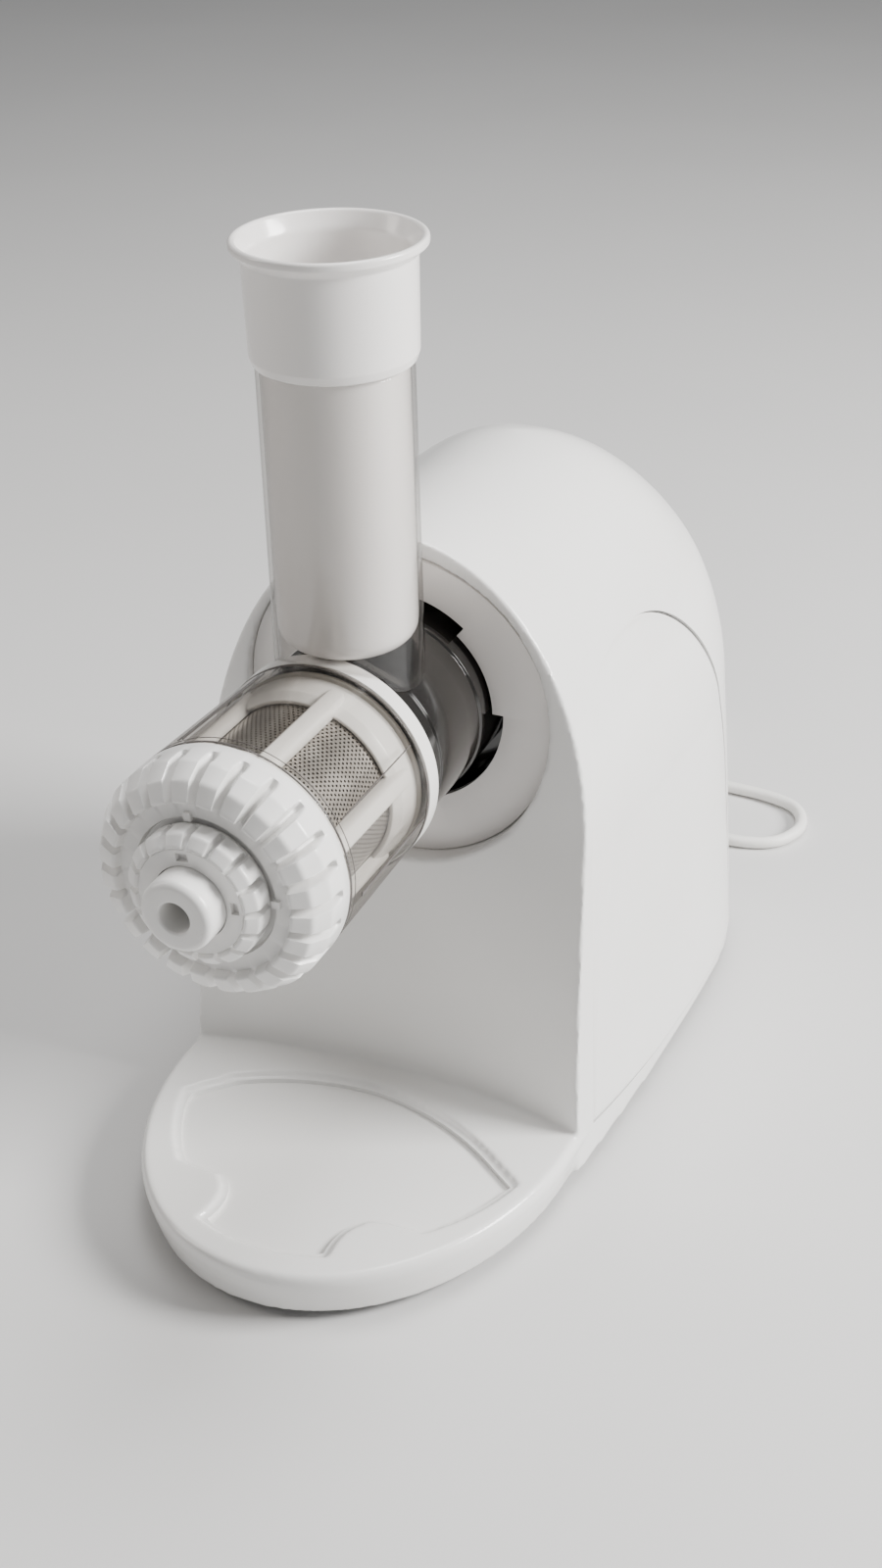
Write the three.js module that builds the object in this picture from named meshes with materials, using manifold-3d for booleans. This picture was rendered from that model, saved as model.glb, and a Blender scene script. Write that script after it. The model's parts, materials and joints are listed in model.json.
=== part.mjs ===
// Slow juicer with one horizontal screw, as an assembly of separate parts.
// Millimetres, +Z up. Local y is measured from the feed tube's axis, with the nozzle towards -y.
import * as THREE from 'three';
import { mergeVertices } from 'three/addons/utils/BufferGeometryUtils.js';
import Module from 'manifold-3d';

const wasm = await Module();
wasm.setup();

// ---------- driving dimensions ----------
const CENTRE_SHIFT = -47.9;       // moves the middle of the footprint onto the origin
const GAP = 0.3;                  // clearance between touching pieces
const AXIS_Z = 174;               // screw axis above the table

const ROUND = 24;                 // facets on large round parts
const INNER_ROUND = 12;           // facets on small ones

// housing
const BASE_Z = 4;                 // lower edge of the housing, above the feet
const TRAY_Z = 22.2;              // top of the drip tray
const WALL = 4;                   // housing wall
const CROWN_Z = 235.5;            // top of the arch
const ARCH_Z = 124;               // height where the side walls start to arch over
const SIDE_W = 74.4;              // half width at ARCH_Z
const FOOT_W = 79.5;              // half width at the tray
const REAR_Y = 213.4;             // back of the housing at its foot
const ROLL_Z = 29.5;              // height where the back starts to roll forward
const ROLL_POWER = 2.72;          // squareness of the back's profile
const BELLY_Y = 121.4;            // y of the widest section
const BELLY = 0.056;              // how much wider the middle is than the front rim
const RIM_LOW_Y = 7.5;            // front rim at the tray
const RIM_HIGH_Y = 34;            // front rim at the crown
const TRAY_LENGTH = 102;          // tray ahead of the feed axis
const TRAY_W = 80;

// face plate and bayonet
const PLATE_Y = 34;
const PLATE_R = 58;
const PLATE_Z = 170.5;            // the disc sits a little below the screw axis
const PLATE_T = 3;
const PLATE_FACETS = 32;
const BAYONET_R = 40.3;
const TAB_R = 36.2;
const LUGS = 3;
const LUG_SPAN = 24;              // degrees

// drum, strainer, sleeve
const DRUM_R = 35;
const DRUM_BORE = 29.5;
const DRUM_FRONT = -21;
const DRUM_REAR = 49;
const SLEEVE_FRONT = -82.7;
const SLEEVE_R_FRONT = 40.3;
const SLEEVE_R_REAR = 38.6;
const SLEEVE_T = 2.4;
const STRAINER_R = 34;
const MESH_R = 30.4;
const MESH_T = 0.8;
const BARS = 6;

// cap nut, knob, nozzle
const CAP_R = 40.5;
const CAP_FACE_Y = -101;
const CAP_FACE_R = 30.5;
const CAP_GRIPS = 24;
const KNOB_R = 22.8;
const KNOB_FRONT = -110.5;
const KNOB_GRIPS = 16;            // also the knob's facets
const NOZZLE_FRONT = -119.7;
const NOZZLE_R = 12.3;
const NOZZLE_BORE = 5.2;

// feed tube and pusher
const TUBE_R = 25;
const TUBE_T = 2;
const TUBE_TOP = 307.8;
const PUSHER_TOP = 347.1;
const PUSHER_LIP_R = 30.6;
const PUSHER_R = 27.2;
const ROD_R = 22.3;
const ROD_BOTTOM = 213;

// gear train
const MODULE_FAST = 1.5;
const MODULE_SLOW = 2.1;
const PINION_TEETH = 10;
const WHEEL_TEETH = 40;
const FAST_CENTRES = MODULE_FAST * (PINION_TEETH + WHEEL_TEETH) / 2;
const SLOW_CENTRES = MODULE_SLOW * (PINION_TEETH + WHEEL_TEETH) / 2;
const IDLER_ANGLE = THREE.MathUtils.degToRad(35);
const IDLER = [SLOW_CENTRES * Math.sin(IDLER_ANGLE), AXIS_Z - SLOW_CENTRES * Math.cos(IDLER_ANGLE)];
const MOTOR = [0, IDLER[1] - Math.sqrt(FAST_CENTRES ** 2 - IDLER[0] ** 2)];
const GEARBOX_FRONT = 54;
const SLOW_GEAR_Y = 61;
const SLOW_GEAR_T = 10;
const FAST_GEAR_Y = 73;
const FAST_GEAR_T = 7;
const GEARBOX_REAR = 87;

// motor
const STATOR_R = 38;
const STATOR_BORE = 21;
const STATOR_FRONT = 108;
const STATOR_LENGTH = 45;
const SHAFT_R = 4;

// mains lead
const CORD_R = 2.75;
const COIL = { x: -22, y: REAR_Y + 128, inner: 21.8, outer: 38.2, height: 11.2 };

// ---------- materials ----------
const plastic = (colour, roughness = 0.35) => new THREE.MeshStandardMaterial({ color: colour, roughness });
const metal = (colour, roughness = 0.4) =>
  new THREE.MeshStandardMaterial({ color: colour, roughness, metalness: 1 });
const white = plastic(0xe9e7e3, 0.3);
const warmWhite = plastic(0xe4e0d8, 0.35);
const black = plastic(0x141312, 0.2);
const grey = plastic(0x8d8f90, 0.5);
const rubber = plastic(0x2a2a2a, 0.9);
const silicone = plastic(0xcfcac2, 0.7);
const clear = new THREE.MeshStandardMaterial({
  color: 0xd8d4cd, roughness: 0.08, transparent: true, opacity: 0.35,
});
const steel = metal(0x9a948c);
const brightSteel = metal(0xb8b8b8, 0.25);
const copper = metal(0xb06a35, 0.4);

const root = new THREE.Group();
root.position.y = CENTRE_SHIFT;

// ---------- solids ----------
function solid(geometry) {
  geometry.deleteAttribute('normal');
  geometry.deleteAttribute('uv');
  const merged = mergeVertices(geometry, 1e-4);
  return new wasm.Manifold(new wasm.Mesh({
    numProp: 3,
    vertProperties: new Float32Array(merged.attributes.position.array),
    triVerts: new Uint32Array(merged.index.array),
  }));
}

function add(name, body, material) {
  const raw = body.getMesh();
  const geometry = new THREE.BufferGeometry();
  geometry.setAttribute('position', new THREE.BufferAttribute(new Float32Array(raw.vertProperties), 3));
  geometry.setIndex(new THREE.BufferAttribute(new Uint32Array(raw.triVerts), 1));
  geometry.computeVertexNormals();
  const mesh = new THREE.Mesh(geometry, material);
  mesh.name = name;
  root.add(mesh);
}

const union = (bodies) => bodies.reduce((whole, body) => whole.add(body));

// A profile of [radius, y] pairs turned about the line x = x0, z = z0.
function turned(profile, segments = ROUND, x0 = 0, z0 = AXIS_Z) {
  const points = profile.map(([r, y]) => new THREE.Vector2(r, y));
  const geometry = new THREE.LatheGeometry(points, segments);
  geometry.translate(x0, 0, 0);
  geometry.applyMatrix4(new THREE.Matrix4().makeTranslation(0, 0, z0));
  return solid(geometry);
}

// A profile of [radius, z] pairs turned about a vertical line.
function standing(profile, segments = ROUND, x0 = 0, y0 = 0) {
  const points = profile.map(([r, z]) => new THREE.Vector2(r, z));
  const geometry = new THREE.LatheGeometry(points, segments);
  geometry.rotateX(Math.PI / 2);
  geometry.translate(x0, y0, 0);
  return solid(geometry);
}

const rod = (r, y0, y1, segments = INNER_ROUND, x = 0, z = AXIS_Z) =>
  turned([[0, y0], [r, y0], [r, y1], [0, y1]], segments, x, z);
const ring = (inner, outer, y0, y1, segments = ROUND, x = 0, z = AXIS_Z) =>
  turned([[inner, y0], [outer, y0], [outer, y1], [inner, y1], [inner, y0]], segments, x, z);
const post = (r, z0, z1, x, y, segments = INNER_ROUND) =>
  standing([[0, z0], [r, z0], [r, z1], [0, z1]], segments, x, y);

function box(x0, x1, y0, y1, z0, z1) {
  const geometry = new THREE.BoxGeometry(x1 - x0, y1 - y0, z1 - z0);
  geometry.translate((x0 + x1) / 2, (y0 + y1) / 2, (z0 + z1) / 2);
  return solid(geometry);
}

// An outline of [x, z] points extruded from y0 to y1.
function slab(outline, y0, y1) {
  const shape = new THREE.Shape(outline.map(([x, z]) => new THREE.Vector2(x, z)));
  const geometry = new THREE.ExtrudeGeometry(shape, { depth: y1 - y0, bevelEnabled: false });
  geometry.rotateX(Math.PI / 2);
  geometry.translate(0, y1, 0);
  return solid(geometry);
}

// An outline of [x, y] points extruded from z0 to z1.
function plate(outline, z0, z1) {
  const shape = new THREE.Shape(outline.map(([x, y]) => new THREE.Vector2(x, y)));
  const geometry = new THREE.ExtrudeGeometry(shape, { depth: z1 - z0, bevelEnabled: false });
  geometry.translate(0, 0, z0);
  return solid(geometry);
}

// Closed skin through rings of the same number of points, each ring at its own height.
function loft(rings) {
  const count = rings[0].points.length;
  const vertices = rings.flatMap(({ points, z }) => points.flatMap(([x, y]) => [x, y, z]));
  const index = [];
  for (let level = 0; level + 1 < rings.length; level += 1) {
    for (let i = 0; i < count; i += 1) {
      const a = level * count + i;
      const b = level * count + (i + 1) % count;
      index.push(a, b, b + count, a, b + count, a + count);
    }
  }
  const contour = (points) => points.map(([x, y]) => new THREE.Vector2(x, y));
  const last = (rings.length - 1) * count;
  const lid = (points) => THREE.ShapeUtils.triangulateShape(contour(points), []);
  for (const [a, b, c] of lid(rings[0].points)) index.push(a, c, b);
  for (const [a, b, c] of lid(rings.at(-1).points)) index.push(last + a, last + b, last + c);
  const geometry = new THREE.BufferGeometry();
  geometry.setAttribute('position', new THREE.Float32BufferAttribute(vertices, 3));
  geometry.setIndex(index);
  return solid(geometry);
}

const circle = (x, z, r, count = 24) => Array.from({ length: count }, (_, i) => {
  const turn = 2 * Math.PI * i / count;
  return [x + r * Math.cos(turn), z + r * Math.sin(turn)];
});

function hull(points) {
  const sorted = [...points].sort((a, b) => a[0] - b[0] || a[1] - b[1]);
  const half = (list) => {
    const chain = [];
    for (const p of list) {
      const bends = () => {
        const [a, b] = chain.slice(-2);
        return (b[0] - a[0]) * (p[1] - a[1]) - (b[1] - a[1]) * (p[0] - a[0]) <= 0;
      };
      while (chain.length > 1 && bends()) chain.pop();
      chain.push(p);
    }
    return chain.slice(0, -1);
  };
  return [...half(sorted), ...half(sorted.reverse())];
}

// ---------- housing shape ----------
const smooth = (t) => THREE.MathUtils.smoothstep(t, 0, 1);
const heightShare = (z) => THREE.MathUtils.clamp((z - TRAY_Z) / (CROWN_Z - TRAY_Z), 0, 1);
const rise = (z, power) => Math.sin(Math.PI / 2 * heightShare(z)) ** power;
const rimY = (z) => RIM_LOW_Y + (RIM_HIGH_Y - RIM_LOW_Y) * rise(z, 1.55);
const wallCentreY = (z) => 18 + 16.5 * rise(z, 1.2);
const halfWidth = (z) => (z < ARCH_Z
  ? SIDE_W + (FOOT_W - SIDE_W) * (ARCH_Z - z) / (ARCH_Z - TRAY_Z)
  : SIDE_W * Math.sqrt(Math.max(0, 1 - ((z - ARCH_Z) / (CROWN_Z - ARCH_Z)) ** 2)));
const rearY = (z) => {
  const up = Math.max(0, (z - ROLL_Z) / (CROWN_Z + 1 - ROLL_Z));
  return BELLY_Y + (REAR_Y - BELLY_Y) * (1 - up ** ROLL_POWER) ** (1 / ROLL_POWER);
};
const belly = (y) => 1 + BELLY * (1 - ((y - BELLY_Y) / (BELLY_Y - RIM_LOW_Y)) ** 2);

const FRONT_STEPS = 4;
const SIDE_STEPS = 7;

// Plan outline of the housing at height z, pulled in by inset.
function housingRing(z, inset = 0) {
  const w = halfWidth(z);
  const front = rimY(z);
  const sag = wallCentreY(z) - front;
  const rear = rearY(z);
  const points = [];
  for (let i = 0; i < FRONT_STEPS; i += 1) {
    const u = -1 + 2 * i / FRONT_STEPS;
    points.push([u * (w - inset), front + inset + sag * (1 - u * u)]);
  }
  const power = 3.1 + smooth((CROWN_Z - z) / 60);
  const outer = (y, sign) => {
    const past = Math.max(0, (y - BELLY_Y) / (rear - BELLY_Y));
    const round = Math.max(0, 1 - past ** power) ** (1 / power);
    return sign * Math.max(0.2, w * belly(Math.min(y, BELLY_Y + 60)) * round - inset);
  };
  const stations = [];
  for (let i = 0; i <= SIDE_STEPS; i += 1) {
    const u = Math.sin(Math.PI / 2 * i / SIDE_STEPS);
    stations.push(front + inset + (rear - front - 2 * inset) * u);
  }
  const length = rear - front;
  const shrink = (y) => front + (y - front - inset) * length / (length - 2 * inset);
  for (const y of stations) points.push([outer(shrink(y), 1), y]);
  for (const y of stations.slice(1).reverse()) points.push([outer(shrink(y), -1), y]);
  return { points, z };
}

const ARCH_LEVELS = [0, 0.25, 0.46, 0.62, 0.76, 0.87, 0.95, 0.999];
const archHeights = (low, high) => ARCH_LEVELS.map((t) => low + (high - low) * t);

// Plan outline of the whole base: tray ellipse ahead, housing plan behind.
function basePlan(inset) {
  const points = [];
  const steps = 16;
  for (let i = 0; i <= steps; i += 1) {
    const turn = Math.PI + Math.PI * i / steps;
    points.push([(TRAY_W - inset) * Math.cos(turn), (TRAY_LENGTH - inset) * Math.sin(turn)]);
  }
  const back = housingRing(TRAY_Z, inset).points.slice(5);
  return [...points, ...back.filter(([, y]) => y > RIM_LOW_Y + 8)];
}

const housingOuter = () => loft([
  { ...housingRing(TRAY_Z), z: BASE_Z + 1 },
  ...archHeights(TRAY_Z, CROWN_Z).map((z) => housingRing(z)),
]);
const housingInner = (inset) => loft([
  { ...housingRing(TRAY_Z, inset), z: BASE_Z - 1 },
  ...archHeights(TRAY_Z, CROWN_Z).map((z) => ({ ...housingRing(z, inset), z: z - inset * heightShare(z) })),
]);

// Side cover: an arch outline in the y-z plane, leaning with the front rim.
function coverShape() {
  const shape = new THREE.Shape();
  shape.moveTo(20.6, 19.5);
  shape.lineTo(28, 110);
  shape.bezierCurveTo(31, 165, 42, 187.5, 90, 187.5);
  shape.bezierCurveTo(130, 187.5, 160, 150, 172, 95);
  shape.lineTo(179, 12);
  shape.quadraticCurveTo(100, 7, 20.6, 19.5);
  return shape;
}
function coverOutline(grow) {
  const points = coverShape().getPoints(5).slice(0, -1);
  const middle = new THREE.Vector2(100, 100);
  return points.map((point) => {
    const out = point.clone().sub(middle);
    return point.clone().add(out.setLength(grow));
  });
}
function sidePrism(grow, side) {
  const shape = new THREE.Shape(coverOutline(grow));
  const geometry = new THREE.ExtrudeGeometry(shape, { depth: 60, bevelEnabled: false });
  geometry.applyMatrix4(new THREE.Matrix4().set(0, 0, 1, 40, 1, 0, 0, 0, 0, 1, 0, 0, 0, 0, 0, 1));
  const prism = solid(geometry);
  return side > 0 ? prism : prism.mirror([1, 0, 0]);
}

// ---------- housing ----------
const COVER_T = 1.4;
const RECESS_Z = TRAY_Z - 3.6;
const recessOutline = () => {
  const shape = new THREE.Shape();
  shape.moveTo(-68, -24);
  shape.quadraticCurveTo(-60, -14, -54, -8);
  shape.quadraticCurveTo(-30, 7, 0, 7);
  shape.quadraticCurveTo(32, 4, 59, -17);
  shape.lineTo(70, -25);
  shape.quadraticCurveTo(64, -48, 49, -62);
  shape.lineTo(31, -63);
  shape.quadraticCurveTo(22, -70, 25, -85);
  shape.quadraticCurveTo(0, -96, -27, -85);
  shape.quadraticCurveTo(-22, -70, -31, -62);
  shape.lineTo(-48, -61);
  shape.quadraticCurveTo(-62, -46, -68, -24);
  return shape.getPoints(2).slice(0, -1).map(({ x, y }) => [x, y]);
};
const trayCavity = (inset) => plate(basePlan(inset), BASE_Z - 1, RECESS_Z - 2.6);
const POSTS = [[-66, 28], [66, 28], [-66, 166], [66, 166]];

const traySlab = loft([
  { points: basePlan(3.4), z: BASE_Z },
  { points: basePlan(0), z: TRAY_Z - 4 },
  { points: basePlan(0.4), z: TRAY_Z - 1.4 },
  { points: basePlan(1.8), z: TRAY_Z },
]);
let housing = traySlab.add(housingOuter());
housing = housing.subtract(housingInner(WALL)).subtract(trayCavity(WALL + 2.5));
housing = housing.subtract(plate(recessOutline(), RECESS_Z, TRAY_Z + 1));
const collar = ring(PLATE_R - 3, PLATE_R + 2.6, 20, PLATE_Y + PLATE_T + GAP + 3, PLATE_FACETS, 0, PLATE_Z)
  .intersect(housingOuter());
housing = housing.add(collar);
housing = housing.subtract(rod(PLATE_R + 0.4, 10, PLATE_Y + PLATE_T + GAP, PLATE_FACETS, 0, PLATE_Z));
housing = housing.subtract(rod(PLATE_R - 3, 10, PLATE_Y + 20, PLATE_FACETS, 0, PLATE_Z));
for (const side of [-1, 1]) {
  const pocket = sidePrism(0.5, side).subtract(housingInner(COVER_T + GAP));
  housing = housing.subtract(pocket);
}
for (const [x, y] of POSTS) {
  const rib = box(Math.min(x, x * 1.3), Math.max(x, x * 1.3), y - 1.5, y + 1.5, BASE_Z + 6, 38);
  housing = housing.add(post(5, BASE_Z + 4.3, 40, x, y, 12).add(rib).intersect(housingInner(WALL - 1)));
  housing = housing.subtract(post(1.9, BASE_Z, 30, x, y, 8));
}
const SWITCH = { y: rearY(96), z: 96, half: [15, 11], depth: 20 };
const LEAD_EXIT = { x: 0, z: 17 };
housing = housing.subtract(box(-SWITCH.half[0] + 2, SWITCH.half[0] - 2, SWITCH.y - 12, REAR_Y + 5,
  SWITCH.z - SWITCH.half[1] + 2, SWITCH.z + SWITCH.half[1] - 2));
housing = housing.subtract(rod(5.3, REAR_Y - 14, REAR_Y + 5, 20, LEAD_EXIT.x, LEAD_EXIT.z));
for (let i = -2; i <= 2; i += 1) {
  if (i !== 0) housing = housing.subtract(box(i * 12 - 2, i * 12 + 2, REAR_Y - 14, REAR_Y + 5, 40, 66));
}
add('housing_shell', housing, white);

for (const [side, name] of [[1, 'side_cover_right'], [-1, 'side_cover_left']]) {
  add(name, sidePrism(0, side).intersect(housingOuter()).subtract(housingInner(COVER_T)), warmWhite);
}

let bottom = plate(basePlan(WALL + 3), BASE_Z + 1, BASE_Z + 4);
for (const [x, y] of POSTS) {
  bottom = bottom.subtract(post(2, 0, 20, x, y, 8)).subtract(post(4.2, 0, BASE_Z + 2.4, x, y, 10));
}
for (let i = -2; i <= 2; i += 1) {
  bottom = bottom.subtract(box(i * 13 - 2.5, i * 13 + 2.5, 180, 196, 0, 20));
}
add('bottom_plate', bottom, grey);
POSTS.forEach(([x, y], i) => {
  const head = post(3.6, BASE_Z + 0.6, BASE_Z + 2.1, x, y, 10);
  add(`bottom_screw_${i + 1}`, head.add(post(1.6, BASE_Z + 2, BASE_Z + 20, x, y, 8)), brightSteel);
});
const FEET = { front_left: [-48, -48], front_right: [48, -48], rear_left: [-56, 180], rear_right: [56, 180] };
const footProfile = [[0, 0], [6.5, 0], [8, 1], [8, BASE_Z + 0.7], [0, BASE_Z + 0.7]];
for (const [place, [x, y]] of Object.entries(FEET)) {
  add(`foot_${place}`, standing(footProfile, INNER_ROUND, x, y), rubber);
}

// ---------- face plate, socket, seal ----------
const wedge = (inner, outer, y0, y1, from, span, steps = 3) => {
  const arc = (r) => Array.from({ length: steps + 1 }, (_, i) => {
    const turn = THREE.MathUtils.degToRad(from + span * i / steps);
    return [r * Math.sin(turn), AXIS_Z + r * Math.cos(turn)];
  });
  return slab([...arc(inner), ...arc(outer).reverse()], y0, y1);
};
let facePlate = rod(PLATE_R, PLATE_Y, PLATE_Y + PLATE_T, PLATE_FACETS, 0, PLATE_Z);
facePlate = facePlate.subtract(rod(BAYONET_R, 0, 60, ROUND));
for (let i = 0; i < LUGS; i += 1) {
  facePlate = facePlate.add(wedge(TAB_R, BAYONET_R + 1, PLATE_Y, PLATE_Y + PLATE_T, 360 / LUGS * i + 40, 50));
}
add('face_plate', facePlate, warmWhite);

const SOCKET_BACK = GEARBOX_FRONT - GAP;
const socketProfile = [
  [9, SOCKET_BACK - 2.2], [42, SOCKET_BACK - 2.2], [42, PLATE_Y + PLATE_T + GAP],
  [46, PLATE_Y + PLATE_T + GAP], [46, SOCKET_BACK], [9, SOCKET_BACK], [9, SOCKET_BACK - 2.2],
];
add('drum_socket', turned(socketProfile), black);
add('shaft_seal', ring(6.4, 8.7, SOCKET_BACK - 2.6, SOCKET_BACK + 1.5, INNER_ROUND), silicone);

// ---------- gearbox ----------
const boxOutline = (grow) => hull([
  ...circle(0, AXIS_Z, 47.5 + grow, 24),
  ...circle(IDLER[0], IDLER[1], 36 + grow, 18),
  ...circle(MOTOR[0], MOTOR[1], 26 + grow, 14),
]);
let cover = slab(boxOutline(0), GEARBOX_FRONT, GEARBOX_FRONT + 3);
cover = cover.add(ring(11, 14.5, GEARBOX_FRONT + 1, GEARBOX_FRONT + 6.2, INNER_ROUND));
cover = cover.subtract(rod(11.5, GEARBOX_FRONT + 1.2, 70)).subtract(rod(9.4, 40, 70));
cover = cover.add(rod(6, GEARBOX_FRONT + 1, GEARBOX_FRONT + 5.5, INNER_ROUND, ...IDLER))
  .subtract(rod(3.35, GEARBOX_FRONT + 1, 70, INNER_ROUND, ...IDLER));
add('gearbox_cover', cover, grey);

let gearCase = slab(boxOutline(0), GEARBOX_FRONT + 3 + GAP, GEARBOX_REAR);
gearCase = gearCase.subtract(slab(boxOutline(-2.5), 50, GEARBOX_REAR - 3));
gearCase = gearCase.add(rod(14, GEARBOX_REAR - 5.5, GEARBOX_REAR + 2));
gearCase = gearCase.subtract(rod(11.5, 75, GEARBOX_REAR + 0.2));
gearCase = gearCase.subtract(rod(7, 80, 99));
gearCase = gearCase.add(rod(6, GEARBOX_REAR - 5.5, GEARBOX_REAR - 2, INNER_ROUND, ...IDLER))
  .subtract(rod(3.35, 70, GEARBOX_REAR - 1, INNER_ROUND, ...IDLER));
gearCase = gearCase.subtract(rod(9, 70, 99, INNER_ROUND, ...MOTOR));
add('gearbox_case', gearCase, grey);

// A spur gear of trapezoid teeth, with one tooth or one gap facing the direction phase.
const TOOTH = { addendum: 0.9, dedendum: 1.2, rootHalf: 0.31, tipHalf: 0.1 };   // modules, shares of a pitch
function gearOutline(teeth, mod, x, z, phase, tooth) {
  const pitch = 2 * Math.PI / teeth;
  const root = mod * (teeth / 2 - TOOTH.dedendum);
  const tip = mod * (teeth / 2 + TOOTH.addendum);
  const corners = [
    [root, -TOOTH.rootHalf], [tip, -TOOTH.tipHalf],
    [tip, TOOTH.tipHalf], [root, TOOTH.rootHalf],
  ];
  const points = [];
  for (let i = 0; i < teeth; i += 1) {
    const mid = phase + (tooth ? 0 : pitch / 2) + i * pitch;
    for (const [radius, share] of corners) {
      const turn = mid + share * pitch;
      points.push([x + radius * Math.cos(turn), z + radius * Math.sin(turn)]);
    }
  }
  return points;
}
const towards = (from, to) => Math.atan2(to[1] - from[1], to[0] - from[0]);
const AXIS = [0, AXIS_Z];
const outputGear = slab(gearOutline(WHEEL_TEETH, MODULE_SLOW, ...AXIS, towards(AXIS, IDLER), true),
  SLOW_GEAR_Y, SLOW_GEAR_Y + SLOW_GEAR_T).subtract(rod(6.4, 50, 90));
add('output_gear', outputGear, silicone);

const idlerWheel = slab(gearOutline(WHEEL_TEETH, MODULE_FAST, ...IDLER, towards(IDLER, MOTOR), true),
  FAST_GEAR_Y, FAST_GEAR_Y + FAST_GEAR_T);
const idlerPinion = slab(gearOutline(PINION_TEETH, MODULE_SLOW, ...IDLER, towards(IDLER, AXIS), false),
  SLOW_GEAR_Y - 0.5, FAST_GEAR_Y + 0.5);
add('idler_gear', idlerWheel.add(idlerPinion).subtract(rod(3.4, 50, 95, INNER_ROUND, ...IDLER)), brightSteel);
add('idler_pin', rod(3, GEARBOX_FRONT + 1.4, GEARBOX_REAR - 1.4, INNER_ROUND, ...IDLER), brightSteel);

const OUTPUT_SHAFT_R = 6;
const outputBearing = (y) => ring(OUTPUT_SHAFT_R + 0.4, 11.1, y, y + 4.6, INNER_ROUND);
add('output_bearing_front', outputBearing(GEARBOX_FRONT + 1.5), brightSteel);
add('output_bearing_rear', outputBearing(GEARBOX_REAR - 5), brightSteel);
const HEX_R = 5.2;                 // drive shaft's hexagonal end, across corners
const hexOutline = (r) => circle(0, AXIS_Z, r, 6);
const hexEnd = slab(hexOutline(HEX_R), 38, GEARBOX_FRONT - 1);
add('drive_shaft', rod(OUTPUT_SHAFT_R, GEARBOX_FRONT - 2, GEARBOX_REAR - 0.2).add(hexEnd), brightSteel);

// ---------- motor ----------
const [MX, MZ] = MOTOR;
const stator = ring(STATOR_BORE, STATOR_R, STATOR_FRONT, STATOR_FRONT + STATOR_LENGTH, 24, MX, MZ);
add('motor_stator', stator, steel);
const coilProfile = (y) => [[24, y], [34, y], [36, y + 4], [34, y + 8], [24, y + 8], [24, y]];
add('winding_front', turned(coilProfile(STATOR_FRONT - 8 - GAP), 20, MX, MZ), copper);
add('winding_rear', turned(coilProfile(STATOR_FRONT + STATOR_LENGTH + GAP), 20, MX, MZ), copper);
const statorRear = STATOR_FRONT + STATOR_LENGTH;
const frontFace = STATOR_FRONT - 16;
const rearFace = statorRear + 24;
const BELL = { bore: 11.5, boss: 13.8, inner: 37, outer: 39.5, wall: 2.5, bossDepth: 5.5 };
// A cup whose closed end is at face and whose rim is at rim.
function endBell(face, rim) {
  const into = Math.sign(rim - face);
  const profile = [
    [BELL.bore, face], [BELL.outer, face], [BELL.outer, rim], [BELL.inner, rim],
    [BELL.inner, face + into * BELL.wall], [BELL.boss, face + into * BELL.wall],
    [BELL.boss, face + into * BELL.bossDepth], [BELL.bore, face + into * BELL.bossDepth], [BELL.bore, face],
  ];
  return turned(into > 0 ? profile : profile.reverse(), 20, MX, MZ);
}
const vents = [0, 60, 120, 180, 240, 300].map((angle) => {
  const turn = THREE.MathUtils.degToRad(angle);
  return rod(5.5, rearFace - 5, rearFace + 5, 8, MX + 26 * Math.cos(turn), MZ + 26 * Math.sin(turn));
});
add('motor_end_bell_front', endBell(frontFace, STATOR_FRONT - GAP), steel);
add('motor_end_bell_rear', endBell(rearFace, statorRear + GAP).subtract(union(vents)), steel);
const motorBearing = (y) => ring(SHAFT_R + 0.2, 11.1, y, y + 4.8, INNER_ROUND, MX, MZ);
add('motor_bearing_front', motorBearing(frontFace + 0.4), brightSteel);
add('motor_bearing_rear', motorBearing(rearFace - 5.2), brightSteel);
add('motor_shaft', rod(SHAFT_R, FAST_GEAR_Y - 1, rearFace + 2, INNER_ROUND, MX, MZ), brightSteel);
const motorPinion = slab(gearOutline(PINION_TEETH, MODULE_FAST, ...MOTOR, towards(MOTOR, IDLER), false),
  FAST_GEAR_Y - 0.5, FAST_GEAR_Y + FAST_GEAR_T + 0.5);
const shaftHole = rod(SHAFT_R + GAP, 60, 99, INNER_ROUND, MX, MZ);
add('motor_pinion', motorPinion.subtract(shaftHole), brightSteel);
const rotorCore = ring(SHAFT_R + GAP, STATOR_BORE - 0.6, STATOR_FRONT + 1, statorRear - 1, 20, MX, MZ);
add('rotor_core', rotorCore, steel);
const FAN_Y = statorRear + 10;
const fanHub = ring(SHAFT_R + GAP, 8, FAN_Y, FAN_Y + 8, INNER_ROUND, MX, MZ);
let fan = fanHub.add(ring(7, 34, FAN_Y, FAN_Y + 1.5, 20, MX, MZ));
for (let i = 0; i < 6; i += 1) {
  const blade = box(7.5, 33, -0.8, 0.8, 0, 7);
  const placed = blade.rotate([-90, 0, 0]).rotate([0, 60 * i, 0]).translate([MX, FAN_Y + 1, MZ]);
  fan = fan.add(placed);
}
add('cooling_fan', fan, black);

// cradle under the motor, standing on the bottom plate
let cradle = box(-36, 36, STATOR_FRONT + 6, STATOR_FRONT + STATOR_LENGTH - 6, BASE_Z + 4 + GAP, MZ - 20);
cradle = cradle.subtract(rod(STATOR_R + 0.5, 80, 190, 24, MX, MZ));
cradle = cradle.subtract(box(-29, 29, 80, 190, BASE_Z + 8, 60));
add('motor_cradle', cradle, grey);
add('run_capacitor', rod(13, 118, 160, 20, 0, BASE_Z + 8 + GAP + 13), black);
add('terminal_block', box(-42, -20, 150, 160, BASE_Z + 4 + GAP, 24), warmWhite);

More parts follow.
